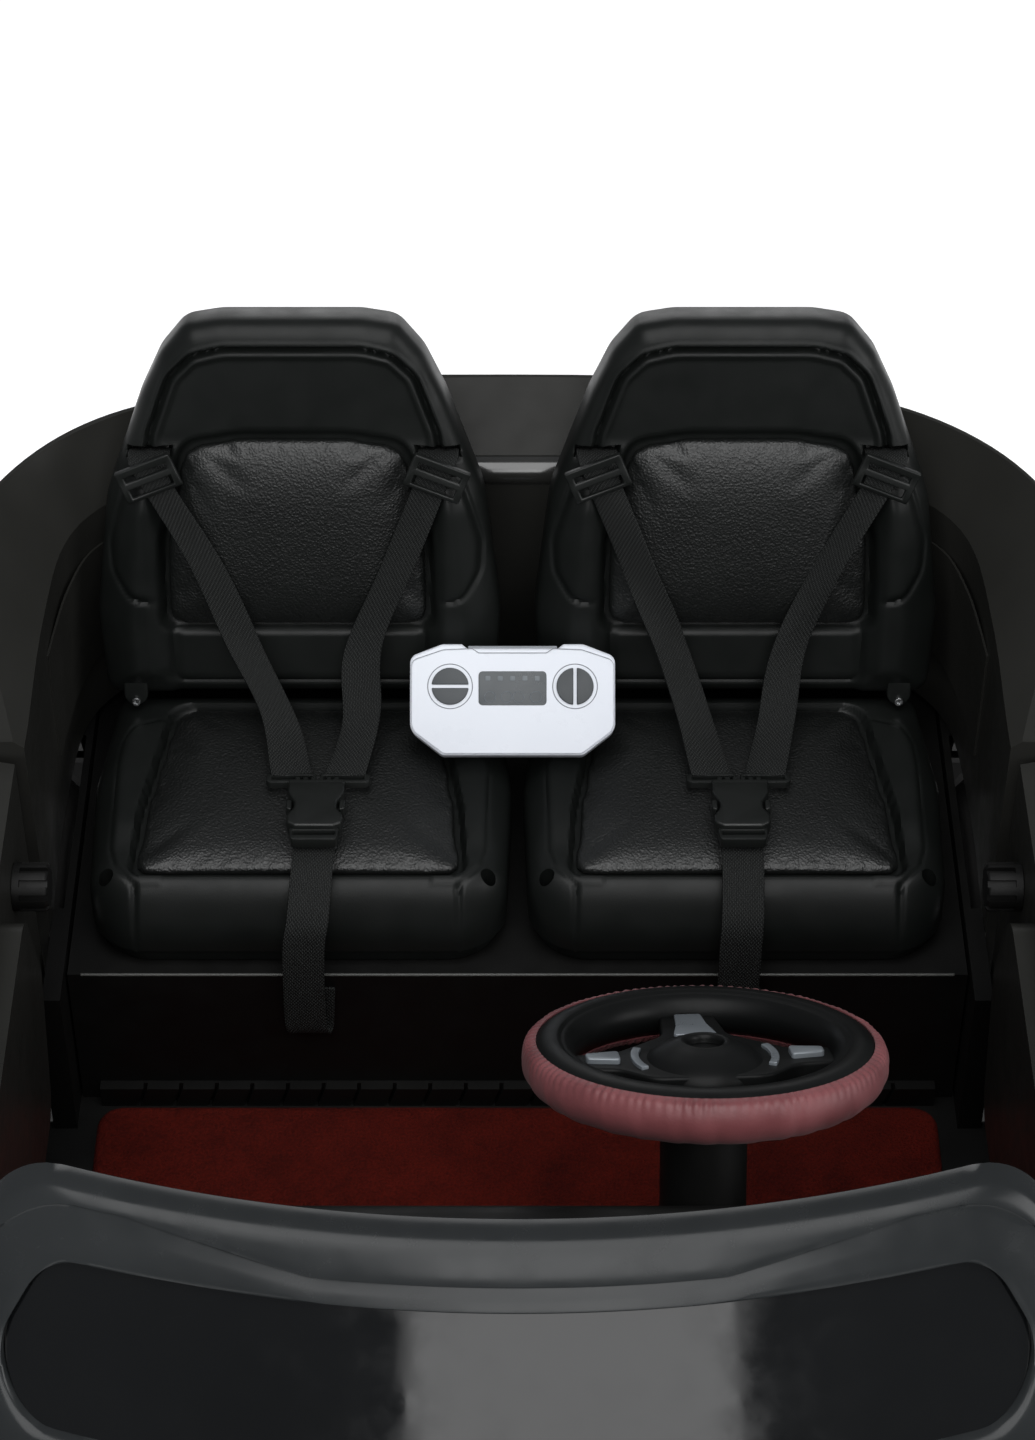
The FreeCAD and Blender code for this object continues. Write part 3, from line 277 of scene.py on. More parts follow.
def nearLine(spots, line):
    near = np.full(len(spots), 1e9)
    for p, q in zip(np.array(line[:-1], float), np.array(line[1:], float)):
        edge = q - p
        share = np.clip((spots - p) @ edge / (edge @ edge), 0, 1)
        near = np.minimum(near, np.hypot(*(spots - p - share[:, None] * edge).T))
    return near


def ease(value, low, high):
    share = np.clip((value - low) / (high - low), 0, 1)
    return share * share * (3 - 2 * share)


def bump(value, middle, half):
    return np.clip(1 - ((value - middle) / half) ** 2, 0, None) ** 2


# a grid primitive stretched over a closed loop, its four corners at given spots of the loop
def quilt(name, loop, corners, across, along, crowd=0.5):
    piece = gridPiece(name, across, along, 2)
    uv = points(piece)[:, :2]
    uv = (1 - crowd) * uv + crowd * np.sin(uv * math.pi / 2)
    u, v = (uv[:, 0] + 1) / 2, (uv[:, 1] + 1) / 2
    picks = [int(np.argmin(np.hypot(*(loop - np.array(c, float)).T))) for c in corners]
    loop = np.roll(loop, -picks[0], axis=0)
    picks = [(p - picks[0]) % len(loop) for p in picks] + [len(loop)]
    closed = np.vstack([loop, loop[:1]])

    def side(number, share):
        run = closed[picks[number]:picks[number + 1] + 1]
        reach = np.concatenate([[0], np.cumsum(np.hypot(*np.diff(run, axis=0).T))])
        reach /= reach[-1]
        return np.stack([np.interp(share, reach, run[:, k]) for k in (0, 1)], axis=1)

    low, right, high, left = side(0, u), side(1, v), side(2, 1 - u), side(3, 1 - v)
    c00, c10, c11, c01 = (closed[p] for p in picks[:4])
    u, v = u[:, None], v[:, None]
    spots = (1 - v) * low + v * high + (1 - u) * left + u * right
    spots -= (1 - u) * (1 - v) * c00 + u * (1 - v) * c10 + u * v * c11 + (1 - u) * v * c01
    return piece, spots


def wallBack(piece, levels):
    for level, pull in levels:
        pickRim(piece)
        bpy.ops.mesh.extrude_region_move()
        leave()
        middle = points(piece).mean(axis=0)
        for vertex in piece.data.vertices:
            if vertex.select:
                vertex.co.z = level * mm
                vertex.co.x = middle[0] + (vertex.co.x - middle[0]) * pull
                vertex.co.y = middle[1] + (vertex.co.y - middle[1]) * pull


def closeBack(piece):
    pickRim(piece)
    bpy.ops.mesh.edge_face_add()


def shut(piece, levels):
    wallBack(piece, levels)
    closeBack(piece)
    leave()
    return tidyNormals(piece)


# a flat loop drawn up into a plate between two levels
def plate(name, loop, low, high, edge=0, segments=3):
    piece = disc(name, len(loop))
    reshape(piece, np.hstack([np.asarray(loop), np.full((len(loop), 1), low)]) * mm)
    pickAll(piece)
    bpy.ops.mesh.extrude_region_move(TRANSFORM_OT_translate={"value": (0, 0, (high - low) * mm)})
    leave()
    tidyNormals(piece)
    if edge:
        roundEdges(piece, edge, segments)
    return piece


# shader values: an expression on wrapped sockets adds its Math nodes
class Shade:
    def __init__(self, tree, socket=None):
        self.tree = tree
        self.socket = socket

    def node(self, kind, settings=None, inputs=None, out=0):
        made = self.tree.nodes.new("ShaderNode" + kind)
        for name, value in (settings or {}).items():
            setattr(made, name, value)
        for name, value in (inputs or {}).items():
            if isinstance(value, Shade):
                self.tree.links.new(value.socket, made.inputs[name])
            else:
                made.inputs[name].default_value = value
        return Shade(self.tree, made.outputs[out])

    def math(self, operation, first, second=0.0):
        return self.node("Math", {"operation": operation}, {0: first, 1: second})

    def __add__(self, other):
        return self.math("ADD", self, other)

    def __radd__(self, other):
        return self.math("ADD", other, self)

    def __sub__(self, other):
        return self.math("SUBTRACT", self, other)

    def __rsub__(self, other):
        return self.math("SUBTRACT", other, self)

    def __mul__(self, other):
        return self.math("MULTIPLY", self, other)

    def __rmul__(self, other):
        return self.math("MULTIPLY", other, self)


def srgb(red, green, blue):
    def straight(value):
        value /= 255
        return value / 12.92 if value <= 0.04045 else ((value + 0.055) / 1.055) ** 2.4
    return (straight(red), straight(green), straight(blue), 1)


def finish(name, build, **fixed):
    made = bpy.data.materials.new(name)
    made.use_nodes = True
    shader = made.node_tree.nodes["Principled BSDF"]
    for socket, value in fixed.items():
        shader.inputs[socket.replace("_", " ")].default_value = value
    for socket, value in build(Shade(made.node_tree)).items():
        made.node_tree.links.new(value.socket, shader.inputs[socket])
    return made


def spot(s, kind="Object"):
    return s.node("TexCoord", out=kind)


def split(s, vector):
    parts = s.node("SeparateXYZ", None, {"Vector": vector})
    return [Shade(s.tree, socket) for socket in parts.socket.node.outputs]


def noise(s, scale, detail, stretch=None):
    vector = spot(s)
    if stretch:
        vector = s.node("Mapping", None, {"Vector": vector, "Scale": stretch})
    return s.node("TexNoise", None, {"Vector": vector, "Scale": scale, "Detail": detail}, "Fac")


def cells(s, scale, vector):
    return s.node("TexVoronoi", {"feature": "SMOOTH_F1"}, {"Vector": vector, "Scale": scale}, "Distance")


def mixed(s, share, dark, light):
    return s.node("Mix", {"data_type": "RGBA"}, {0: share, 6: srgb(*dark), 7: srgb(*light)}, 2)


def relief(s, height, strength, depth):
    return s.node("Bump", None, {"Height": height, "Strength": strength, "Distance": depth})


def spread(s, value, low, high, start=0.3, stop=0.7):
    inputs = {"Value": value, "From Min": start, "From Max": stop, "To Min": low, "To Max": high}
    return s.node("MapRange", None, inputs)


# moulded plastic: faint flow marks, a spark-eroded grain and handling scuffs in the gloss
def moulded(name, dark, light, gloss, grain, shine=0.5, scale=1400, **fixed):
    def build(s):
        flow = noise(s, 7, 3)
        pores = noise(s, scale, 1)
        scuff = noise(s, 55, 4)
        return {
            "Base Color": mixed(s, spread(s, flow, 0, 1), dark, light),
            "Roughness": spread(s, scuff, gloss - 0.05, gloss + 0.07) + 0.05 * (pores - 0.5),
            "Normal": relief(s, pores + 0.4 * scuff, grain, 0.0003),
        }
    return finish(name, build, Specular_IOR_Level=shine, **fixed)


def pebbledLeather(name, dark, light, gloss):
    def build(s):
        drift = s.node("TexNoise", None, {"Vector": spot(s), "Scale": 240.0, "Detail": 2.0}, "Color")
        bent = s.node("VectorMath", {"operation": "MULTIPLY_ADD"},
                      {0: drift, 1: (0.0016, 0.0016, 0.0016), 2: spot(s)})
        pebble = cells(s, 720, bent)
        crease = noise(s, 130, 3)
        height = 1 - pebble * 1.5 + crease * 0.35
        tone = noise(s, 24, 3)
        return {
            "Base Color": mixed(s, spread(s, tone * 0.6 + pebble * 0.5, 0, 1, 0.35, 0.8), light, dark),
            "Roughness": spread(s, pebble, gloss, gloss + 0.2, 0.1, 0.7),
            "Normal": relief(s, height, 0.55, 0.0005),
        }
    return finish(name, build, Coat_Weight=0.12, Coat_Roughness=0.35)


# woven strap: warp ribs along the length crossed by short weft floats, UV in metres
ribStep, weftStep = 0.0021, 0.0027


def wovenWebbing(name, dark, light):
    def build(s):
        across, along, _ = split(s, spot(s, "UV"))
        rib = s.math("SINE", across * (2 * math.pi / ribStep))
        shift = s.math("SIGN", rib) * 0.25
        weft = s.math("SINE", (along * (1 / weftStep) + shift) * (2 * math.pi))
        weave = s.math("ABSOLUTE", rib) * (0.55 + 0.45 * weft)
        fuzz = noise(s, 900, 2)
        tone = weave * 0.75 + fuzz * 0.35
        return {
            "Base Color": mixed(s, spread(s, tone, 0, 1, 0.15, 0.95), dark, light),
            "Roughness": spread(s, fuzz, 0.62, 0.8),
            "Normal": relief(s, weave + 0.2 * fuzz, 0.9, 0.0006),
        }
    return finish(name, build, Specular_IOR_Level=0.25)


def flockedCarpet(name, dark, light):
    def build(s):
        tuft = noise(s, 620, 3)
        nap = noise(s, 60, 3)
        broad = noise(s, 9, 2)
        tone = tuft * 0.55 + nap * 0.3 + broad * 0.25
        return {
            "Base Color": mixed(s, spread(s, tone, 0, 1, 0.4, 0.72), dark, light),
            "Roughness": spread(s, tuft, 0.86, 0.97),
            "Normal": relief(s, tuft + 0.4 * nap, 1.0, 0.0016),
        }
    return finish(name, build, Specular_IOR_Level=0.1)


def coverSkin(name, dark, light):
    def build(s):
        grain = cells(s, 900, spot(s))
        cloud = noise(s, 32, 4)
        return {
            "Base Color": mixed(s, spread(s, cloud, 0, 1), dark, light),
            "Roughness": spread(s, cloud, 0.42, 0.58),
            "Normal": relief(s, 1 - grain, 0.25, 0.0003),
        }
    return finish(name, build, Sheen_Weight=0.06, Sheen_Roughness=0.5)


def castRubber(name, dark, light):
    def build(s):
        dust = noise(s, 30, 4)
        pores = noise(s, 1200, 1)
        return {
            "Base Color": mixed(s, spread(s, dust, 0, 1), dark, light),
            "Roughness": spread(s, dust, 0.62, 0.82),
            "Normal": relief(s, pores, 0.3, 0.0003),
        }
    return finish(name, build)


def bareMetal(name, dark, light, gloss):
    def build(s):
        brushed = noise(s, 90, 3, stretch=(1, 1, 14))
        return {
            "Base Color": mixed(s, spread(s, brushed, 0, 1), dark, light),
            "Roughness": spread(s, brushed, gloss, gloss + 0.15),
            "Normal": relief(s, brushed, 0.08, 0.0002),
        }
    return finish(name, build, Metallic=1.0)


# lamp: round bowls behind a clear skin, placed by the distance from their centres as seen from the front
fluteStep, bulbEdge = 0.004, (0.004, 0.006)


def lampLens(name, dark, light, centre, step, bowl, shine):
    def build(s):
        x, _, z = split(s, spot(s))
        across = s.math("ABSOLUTE", s.math("ABSOLUTE", x) - centre[0] * mm) - step * mm
        up = z - centre[1] * mm
        far = s.math("SQRT", across * across + up * up)
        inside = spread(s, far, 1, 0, (bowl - 1) * mm, bowl * mm)
        flutes = s.math("SINE", far * (2 * math.pi / fluteStep)) * 0.5 + 0.5
        bulb = spread(s, far, 1, 0, *bulbEdge)
        tone = inside * (0.45 + 0.35 * flutes) + bulb * 0.4
        return {
            "Base Color": mixed(s, tone, dark, light),
            "Metallic": inside * shine,
            "Roughness": 0.1 + 0.12 * flutes,
            "Normal": relief(s, flutes * inside, 0.25, 0.0006),
        }
    return finish(name, build, Coat_Weight=1.0, Coat_Roughness=0.03)


# finishes: dark and light end of the colour, then gloss, grain and shine
bodyBlack = moulded("body_black_satin", (33, 33, 31), (40, 40, 38), 0.34, 0.06, 0.13)
mouldedBlack = moulded("moulded_black", (9, 9, 9), (14, 14, 13), 0.5, 0.2, 0.22)
seatPlastic = moulded("seat_plastic", (15, 17, 16), (21, 23, 22), 0.4, 0.16, 0.22)
hardwareBlack = moulded("clip_plastic", (18, 20, 19), (25, 27, 26), 0.38, 0.12, 0.4)
wheelBlack = moulded("wheel_soft_black", (12, 13, 13), (17, 18, 18), 0.4, 0.14, 0.14)
screenGrey = moulded("screen_gloss_grey", (29, 31, 32), (37, 39, 40), 0.22, 0.03, 0.28)
padLeather = pebbledLeather("pad_leather", (8, 9, 9), (17, 19, 18), 0.32)
strapWeave = wovenWebbing("strap_webbing", (8, 9, 9), (47, 49, 48))
carpetRed = flockedCarpet("carpet_red_flock", (48, 9, 6), (86, 22, 14))
coverRed = coverSkin("cover_dusty_red", (98, 49, 52), (121, 66, 69))
trimGrey = moulded("trim_silver_grey", (112, 118, 124), (132, 138, 143), 0.3, 0.04, Metallic=0.35)
smokedPane = moulded("screen_smoke", (7, 8, 9), (12, 13, 14), 0.08, 0.0, 0.4)
tyreRubber = castRubber("tyre_rubber", (19, 19, 19), (30, 29, 28))
rimSilver = moulded("rim_silver", (166, 169, 172), (174, 177, 180), 0.26, 0.03, Metallic=0.75)
steelBright = bareMetal("steel_bright", (170, 172, 174), (205, 207, 208), 0.22)
lampClear = lampLens("lamp_clear", (30, 32, 34), (226, 231, 235), (262, 318), 27, 23, 0.75)
lampRed = lampLens("lamp_red", (74, 6, 6), (190, 22, 18), (268, 330), 24, 21, 0.15)
batteryGrey = moulded("battery_grey", (66, 70, 74), (82, 86, 90), 0.5, 0.1)
shellWhite = moulded("remote_white", (212, 216, 224), (219, 223, 230), 0.3, 0.02, 0.3)
keyGrey = moulded("key_grey", (56, 60, 63), (68, 72, 75), 0.5, 0.15)
displayGrey = moulded("display_grey", (52, 58, 62), (60, 66, 70), 0.28, 0.03)
# light grey for the bead on the bench's front edge: a painted highlight, not the bench's own colour
benchHighlightGrey = moulded("bench_edge_painted_highlight", (70, 71, 69), (86, 86, 84), 0.4, 0.1, 0.3)
lipGloss = moulded("lip_gloss", (34, 34, 33), (42, 42, 40), 0.2, 0.03, 0.6, Coat_Weight=0.6)
mirrorGlass = bareMetal("mirror_glass", (196, 200, 204), (204, 208, 212), 0.02)
# grey for the remote's seam strip and key hoops, which are painted shade lines, and for its real grey top bar
seamShadeAndBarGrey = moulded("seam_shade_and_bar_grey", (120, 124, 130), (132, 136, 142), 0.5, 0.05)
markGrey = moulded("mark_grey", (92, 99, 104), (104, 110, 115), 0.4, 0.05)
print("finishes made:", len(bpy.data.materials))

dress(bodyBlack, "rear_body", "front_body", "bonnet", "door_left", "door_right")
dress(mouldedBlack, "lower_tub", "bumpers", "arch_trims", "grille", "dashboard", "seat_bench", "steering_shaft",
      "accelerator_pedal", "control_box", "gearboxes", "door_knob_left", "door_knob_right", "tie_plate")
dress(smokedPane, "windscreen_pane")
dress(lampClear, "headlights")
dress(lampRed, "taillights", "power_button")
for corner in ("front_left", "front_right", "rear_left", "rear_right"):
    dress(tyreRubber, f"tyre_{corner}")
    dress(rimSilver, f"rim_{corner}")
dress(steelBright, "front_beam", "knuckle_left", "knuckle_right", "rear_axle", "drive_motors")
dress(hardwareBlack, "door_hinges")
dress(batteryGrey, "battery")


# camera, floor and soft studio light
studio = {"eye": (0, -1.10658, 1.78152), "tilt": 46, "lens": 86.25, "sky": (0.92, 0.95, 1.0), "skyPower": 0.22,
          "floorGlow": 0.4}
deselect()
bpy.ops.object.camera_add(location=studio["eye"], rotation=(math.radians(studio["tilt"]), 0, 0))
camera = bpy.context.object
camera.data.lens = studio["lens"]
camera.data.sensor_width = 36
bpy.context.scene.camera = camera
bpy.context.scene.view_settings.view_transform = "Standard"

deselect()
bpy.ops.mesh.primitive_plane_add(size=16, location=(0, 0, 0))
floor = newest("floor")
floor.data.materials.append(moulded("floor_pale", (240, 240, 240), (244, 244, 244), 0.75, 0.02, scale=40,
                                    Emission_Color=(1, 1, 1, 1), Emission_Strength=studio["floorGlow"]))
floor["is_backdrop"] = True

lamps = {  # place, aim, size, watts
    "overhead": ((0.0, -0.9, 3.4), (0.0, 0.1, 0.0), 3.0, 84),
    "frontKey": ((0.2, -2.5, 2.2), (0.0, 0.4, 0.4), 1.3, 19),
    "frontFill": ((-1.6, -3.0, 1.5), (0.0, 0.1, 0.3), 2.0, 44),
    "sideFill": ((2.7, -0.8, 1.6), (0.0, 0.2, 0.3), 1.6, 30),
    "rearRim": ((0.0, 4.0, 1.1), (0.0, 0.6, 0.4), 2.2, 22),
}
for name, (place, aim, size, power) in lamps.items():
    bpy.ops.object.light_add(type="AREA", location=place)
    lamp = bpy.context.object
    lamp.name = name
    lamp.data.size = size
    lamp.data.energy = power
    lamp.visible_camera = False
    lamp.visible_glossy = name != "frontFill"
    lamp.rotation_euler = (Vector(aim) - Vector(place)).to_track_quat("-Z", "Y").to_euler()
sky = bpy.data.worlds.new("studio")
sky.use_nodes = True
sky.node_tree.nodes["Background"].inputs[0].default_value = (*studio["sky"], 1)
sky.node_tree.nodes["Background"].inputs[1].default_value = studio["skyPower"]
bpy.context.scene.world = sky


# seat frames: base flat on the bench, back leaning 18 degrees from the crease line
creaseLine, benchLevel, seatLevel, backLean = 461, 235, 288, math.radians(18)
baseMiddle, backMiddle = 131.5, 135
backTilt = Matrix.Rotation(math.radians(90) - backLean, 4, "X")
hands = ((1, "left"), (-1, "right"))


def baseFrame(side):
    return shifted(side * baseMiddle, creaseLine, benchLevel)


def backFrame(side):
    return shifted(side * backMiddle, creaseLine, seatLevel) @ backTilt


def backSpot(x, along, out):
    y = creaseLine + along * math.sin(backLean) - out * math.cos(backLean)
    z = seatLevel + along * math.cos(backLean) + out * math.sin(backLean)
    return (x, y, z)


# seat back: broad rim, double groove round the head panel, wing creases, pad well, lumbar panel
seatBack = {
    "outline": [(121, 6, 12), (124.5, 62, 80), (115, 140, 70), (92, 203, 70), (79, 230, 30), (63.5, 248.5, 16),
                (42, 252, 40)],
    "head": [(91, 158, 3), (88.5, 181, 20), (75, 218, 22), (61, 231.5, 14), (42, 236.3, 50)],
    "padWell": [(83, 52.5, 10), (82, 110, 50), (68.5, 174, 16), (33, 180, 60)],
    "wing": [(82, 73, 4), (102, 77, 12), (112, 93, 16), (113, 112, 30), (106, 136, 20), (100, 154, 4), (84, 150, 4)],
    "lumbar": [(77, 17.5, 6), (77, 53, 3)],
    "corners": [(-120, 8), (120, 8), (66, 246), (-66, 246)], "face": 14, "rim": 13, "well": 6.0,
    "slot": (87, 13, 169, 3),  # strap slot: middle and half width, level and half height
    "rear": [(-15, 1.0), (-22, 0.98), (-26, 0.94)],  # levels of the side wall and how far each draws in
    "recess": (9, 5, 0.97),  # border, depth and taper of the hollow rear face
}


def makeSeatBack():
    size = seatBack
    loop = halfLoop(size["outline"])
    piece, spots = quilt("seat_back", loop, size["corners"], 150, 150)
    x, along = np.abs(spots[:, 0]), spots[:, 1]
    mirrored = np.stack([x, along], axis=1)
    edge = np.maximum(depthInside(spots, loop), 0)
    rim = size["rim"]
    drop = rim - np.sqrt(np.maximum(rim ** 2 - (rim - np.minimum(edge, rim)) ** 2, 0))
    bolster = ease(x, 76, 92) * ease(along, 4, 26) * (1 - ease(along, 132, 176)) * ease(edge, 3, 24)
    out = size["face"] + 8.5 * bolster
    out -= 3.0 * (1 - ease(x, 74, 82)) * (1 - ease(along, 52, 60))
    head = depthInHalf(spots, size["head"])
    fade = ease(along, 158, 178)
    out -= fade * (4.2 * ease(head, -1.0, 2.0) + 2.4 * bump(head, 1.6, 2.6) - 1.9 * bump(head, 6.2, 3.2))
    out += fade * 0.7 * bump(head, -2.0, 2.2)
    sink = ease(depthInHalf(spots, size["padWell"]), -3.0, 1.2)
    out = out * (1 - sink) + size["well"] * sink
    wing = depthInside(mirrored, roundedLoop(size["wing"]))
    out += (1.8 * ease(wing, -0.5, 4.0) - 1.6 * bump(wing, -0.6, 2.4)) * (1 - sink) * ease(x, 84, 96)
    lumbar = depthInHalf(spots, size["lumbar"])
    out += (1.2 * ease(lumbar, 0, 5) - 1.4 * bump(lumbar, -1.0, 2.2)) * (1 - sink)
    middle, half, level, tall = size["slot"]
    slot = np.maximum(np.abs(x - middle) - half, np.abs(along - level) - tall)
    out -= 11 * (1 - ease(slot, -1.5, 1.0))
    layOut(piece, spots[:, 0], along, out - drop)
    wallBack(piece, size["rear"])
    closeBack(piece)
    border, deep, taper = size["recess"]
    bpy.ops.mesh.inset(thickness=border * mm)
    bpy.ops.mesh.extrude_region_move(TRANSFORM_OT_translate={"value": (0, 0, deep * mm)})
    bpy.ops.transform.resize(value=(taper, taper, 1))
    leave()
    return tidyNormals(piece)


# seat base: rolled front, pad well, contour lines, corner grooves, screw holes
seatBase = {
    "outline": [(124, -178, 34), (128, -70, 60), (119, 9, 10)],
    "padWell": [(100, -153, 8), (97, -100, 40), (83, -6.5, 16)],
    "contour": [(93, -23), (107, -31), (112.5, -42), (114, -58), (113, -132), (109, -146), (97, -160)],
    "corners": [(-114, -168), (114, -168), (118, 8), (-118, 8)], "top": 53, "well": 47.0, "frontRoll": 40,
    "sideRoll": 18, "foot": [(12, 1.0), (11, 0.982), (9, 0.982), (8, 1.0), (1.5, 1.002), (0.3, 0.99)],
    "hole": (114, -152, 50), "bore": 4.5,
}


def makeSeatBase():
    size = seatBase
    loop = halfLoop(size["outline"])
    piece, spots = quilt("seat_base", loop, size["corners"], 150, 130)
    x, along = np.abs(spots[:, 0]), spots[:, 1]
    mirrored = np.stack([x, along], axis=1)
    edge = np.maximum(depthInside(spots, loop), 0)
    front = 1 - ease(along, -174, -146)
    roll = size["sideRoll"] + (size["frontRoll"] - size["sideRoll"]) * front
    fall = np.minimum(edge / roll, 1)
    drop = roll * (1 - np.sqrt(np.maximum(1 - (1 - fall) ** 2, 0))) * (0.92 + 0.08 * front)
    out = np.full(len(spots), float(size["top"]))
    out += 3.5 * bump(x, 106, 22) * ease(along, -138, -110) * (1 - ease(along, -30, -4)) * ease(edge, 2, 16)
    sink = ease(depthInHalf(spots, size["padWell"]), -2.2, 1.0)
    contour = nearLine(mirrored, size["contour"])
    ring = depthInside(mirrored, np.array(size["contour"] + [(80, -160), (80, -23)], float))
    out += (0.9 * ease(ring, -0.8, 0.8) - 1.1 * bump(contour, 0, 1.8)) * (1 - sink)
    corner = np.abs(x - (96.5 - 0.02 * (along + 160)))
    out -= 2.6 * bump(corner, 0, 2.6) * (1 - ease(along, -162, -157))
    layOut(piece, spots[:, 0], along, (out - drop) * (1 - sink) + size["well"] * sink)
    shut(piece, size["foot"])
    holeX, holeY, holeZ = size["hole"]
    for side in (1, -1):
        drill = rod("drill", 40, size["bore"], 40)
        drill.data.transform(shifted(side * holeX, holeY, holeZ))
        drillOut(piece, drill)
    return piece


seatForms = {"back": (makeSeatBack(), backFrame), "base": (makeSeatBase(), baseFrame)}
for side, word in hands:
    for kind, (form, place) in seatForms.items():
        mount(copyOf(form, f"moulded_{kind}_{word}"), "chassis", seatPlastic, "seat_black",
              [f"seat_{kind}_{word}"], 50, place(side))
for form, place in seatForms.values():
    bpy.data.objects.remove(form)

lug = {"tab": [(-7.4, 17, 1), (-7.4, -3, 7.3), (7.4, -3, 7.3), (7.4, 17, 1)], "spot": (102.4, 4.6), "face": 15.5,
       "screw": 2.6, "slot": (3.0, 0.7, 1.6), "turns": (25, 115)}
tabs, screws = [], []
for side in (1, -1):
    for hand in (1, -1):
        x, along = hand * lug["spot"][0], lug["spot"][1]
        tab = plate("lug_tab", roundedLoop(lug["tab"], 1.0) + (x, along), 2, lug["face"], 1.4)
        tab.data.transform(backFrame(side))
        tabs.append(tab)
        screw = rod("lug_screw", 36, lug["screw"], 3)
        for turn in lug["turns"]:
            deselect()
            bpy.ops.mesh.primitive_cube_add(size=1)
            cutter = newest("drill")
            cutter.data.transform(shifted(0, 0, lug["slot"][2]) @ turned(turn, "Z")
                                  @ Matrix.Diagonal((*(Vector(lug["slot"]) * mm), 1)))
            drillOut(screw, cutter)
        roundEdges(screw, 0.4)
        screw.data.transform(backFrame(side) @ shifted(x, along, lug["face"] + 0.6))
        screws.append(screw)
mount(fuse("seat_lugs", tabs), "chassis", seatPlastic, "seat_black", (), 40)
mount(fuse("lug_screws", screws), "chassis", steelBright, "steel", ["seat_screws"], 40)
print("seats modelled")


# leather pads: a crowned slab is remeshed, swollen as cloth over its pinned foot, then smoothed
backPad = {"outline": [(80.5, 55, 11), (79.5, 110, 50), (66, 171.5, 15), (32, 177.5, 60)], "foot": 6.4, "edge": 10.5,
           "crown": 17, "reach": 22, "cap": 5, "corners": [(-78, 57), (78, 57), (64, 169), (-64, 169)]}
basePad = {"outline": [(98, -151, 9), (95, -100, 40), (81, -9, 16)], "foot": 47.4, "edge": 50.5, "crown": 55,
           "reach": 26, "cap": 5, "corners": [(-96, -149), (96, -149), (78, -11), (-78, -11)]}
padSkin = {"use_pressure": True, "uniform_pressure_force": 4, "vertex_group_mass": "held", "quality": 5,
           "tension_stiffness": 12, "compression_stiffness": 12, "bending_stiffness": 1.5}
padSteps, padVoxel = 20, 4


def swell(piece, foot, cap):
    modify(piece, "REMESH", mode="VOXEL", voxel_size=padVoxel * mm)
    rest = points(piece)
    held = piece.vertex_groups.new(name="held")
    held.add([i for i, z in enumerate(rest[:, 2]) if z < (foot + 1.4) * mm], 1.0, "REPLACE")
    activate(piece)
    cloth = piece.modifiers.new("Swell", "CLOTH")
    for name, value in padSkin.items():
        setattr(cloth.settings, name, value)
    cloth.settings.effector_weights.gravity = 0
    cloth.point_cache.frame_start, cloth.point_cache.frame_end = 1, padSteps
    for step in range(1, padSteps + 1):
        bpy.context.scene.frame_set(step)
    bpy.ops.object.modifier_apply(modifier="Swell")
    bpy.context.scene.frame_set(1)
    shift = points(piece) - rest
    size = np.linalg.norm(shift, axis=1, keepdims=True)
    reshape(piece, rest + shift * np.minimum(1, cap * mm / np.maximum(size, 1e-9)))
    piece.vertex_groups.clear()
    print("swollen", piece.name, "by up to", round(float(size.max()) * 1000, 1), "mm")


def makePad(name, size):
    loop = halfLoop(size["outline"])
    piece, spots = quilt(name, loop, size["corners"], 60, 50)
    edge = np.clip(np.maximum(depthInside(spots, loop), 0) / size["reach"], 0, 1)
    out = size["edge"] + (size["crown"] - size["edge"]) * np.sqrt(1 - (1 - edge) ** 2)
    layOut(piece, spots[:, 0], spots[:, 1], out)
    shut(piece, [(size["foot"], 0.99)])
    swell(piece, size["foot"], size["cap"])
    modify(piece, "SUBSURF", levels=1, render_levels=1)
    spots = points(piece)
    x, y = spots[:, 0] / mm, spots[:, 1] / mm
    rim = np.exp(-((depthInside(spots[:, :2] / mm, loop) - 4) / 5) ** 2) * (spots[:, 2] > (size["foot"] + 2) * mm)
    ripple = np.sin(x * 0.55 + 1.3 * np.sin(y * 0.19)) * np.sin(y * 0.43 + x * 0.11)
    spots[:, 2] += 0.35 * mm * rim * ripple
    reshape(piece, spots)
    return piece


padForms = {"back": (makePad("pad_back", backPad), backFrame), "base": (makePad("pad_base", basePad), baseFrame)}
for side, word in hands:
    for kind, (form, place) in padForms.items():
        pad = copyOf(form, f"leather_{kind}_{word}")
        mount(pad, "chassis", padLeather, "pad_leather", [f"{kind}_pad_{word}"], 80, place(side))
for form, place in padForms.values():
    bpy.data.objects.remove(form)
print("pads filled")


# a smooth curve through rows of numbers
def smoothRun(rows, count):
    rows = np.array(rows, float)
    padded = np.vstack([2 * rows[0] - rows[1], rows, 2 * rows[-1] - rows[-2]])
    t = np.linspace(0, len(rows) - 1 - 1e-9, count)
    i = t.astype(int)
    f = (t - i)[:, None]
    p0, p1, p2, p3 = (padded[i + k] for k in range(4))
    return 0.5 * (2 * p1 + (p2 - p0) * f + (2 * p0 - 5 * p1 + 4 * p2 - p3) * f ** 2
                  + (3 * p1 - p0 - 3 * p2 + p3) * f ** 3)


# webbing: a grid strip laid along stations of a centre, an across direction and an outward normal
tape = {"width": 25, "thick": 1.6, "rows": 110, "edge": 0.5, "sag": 0.5}


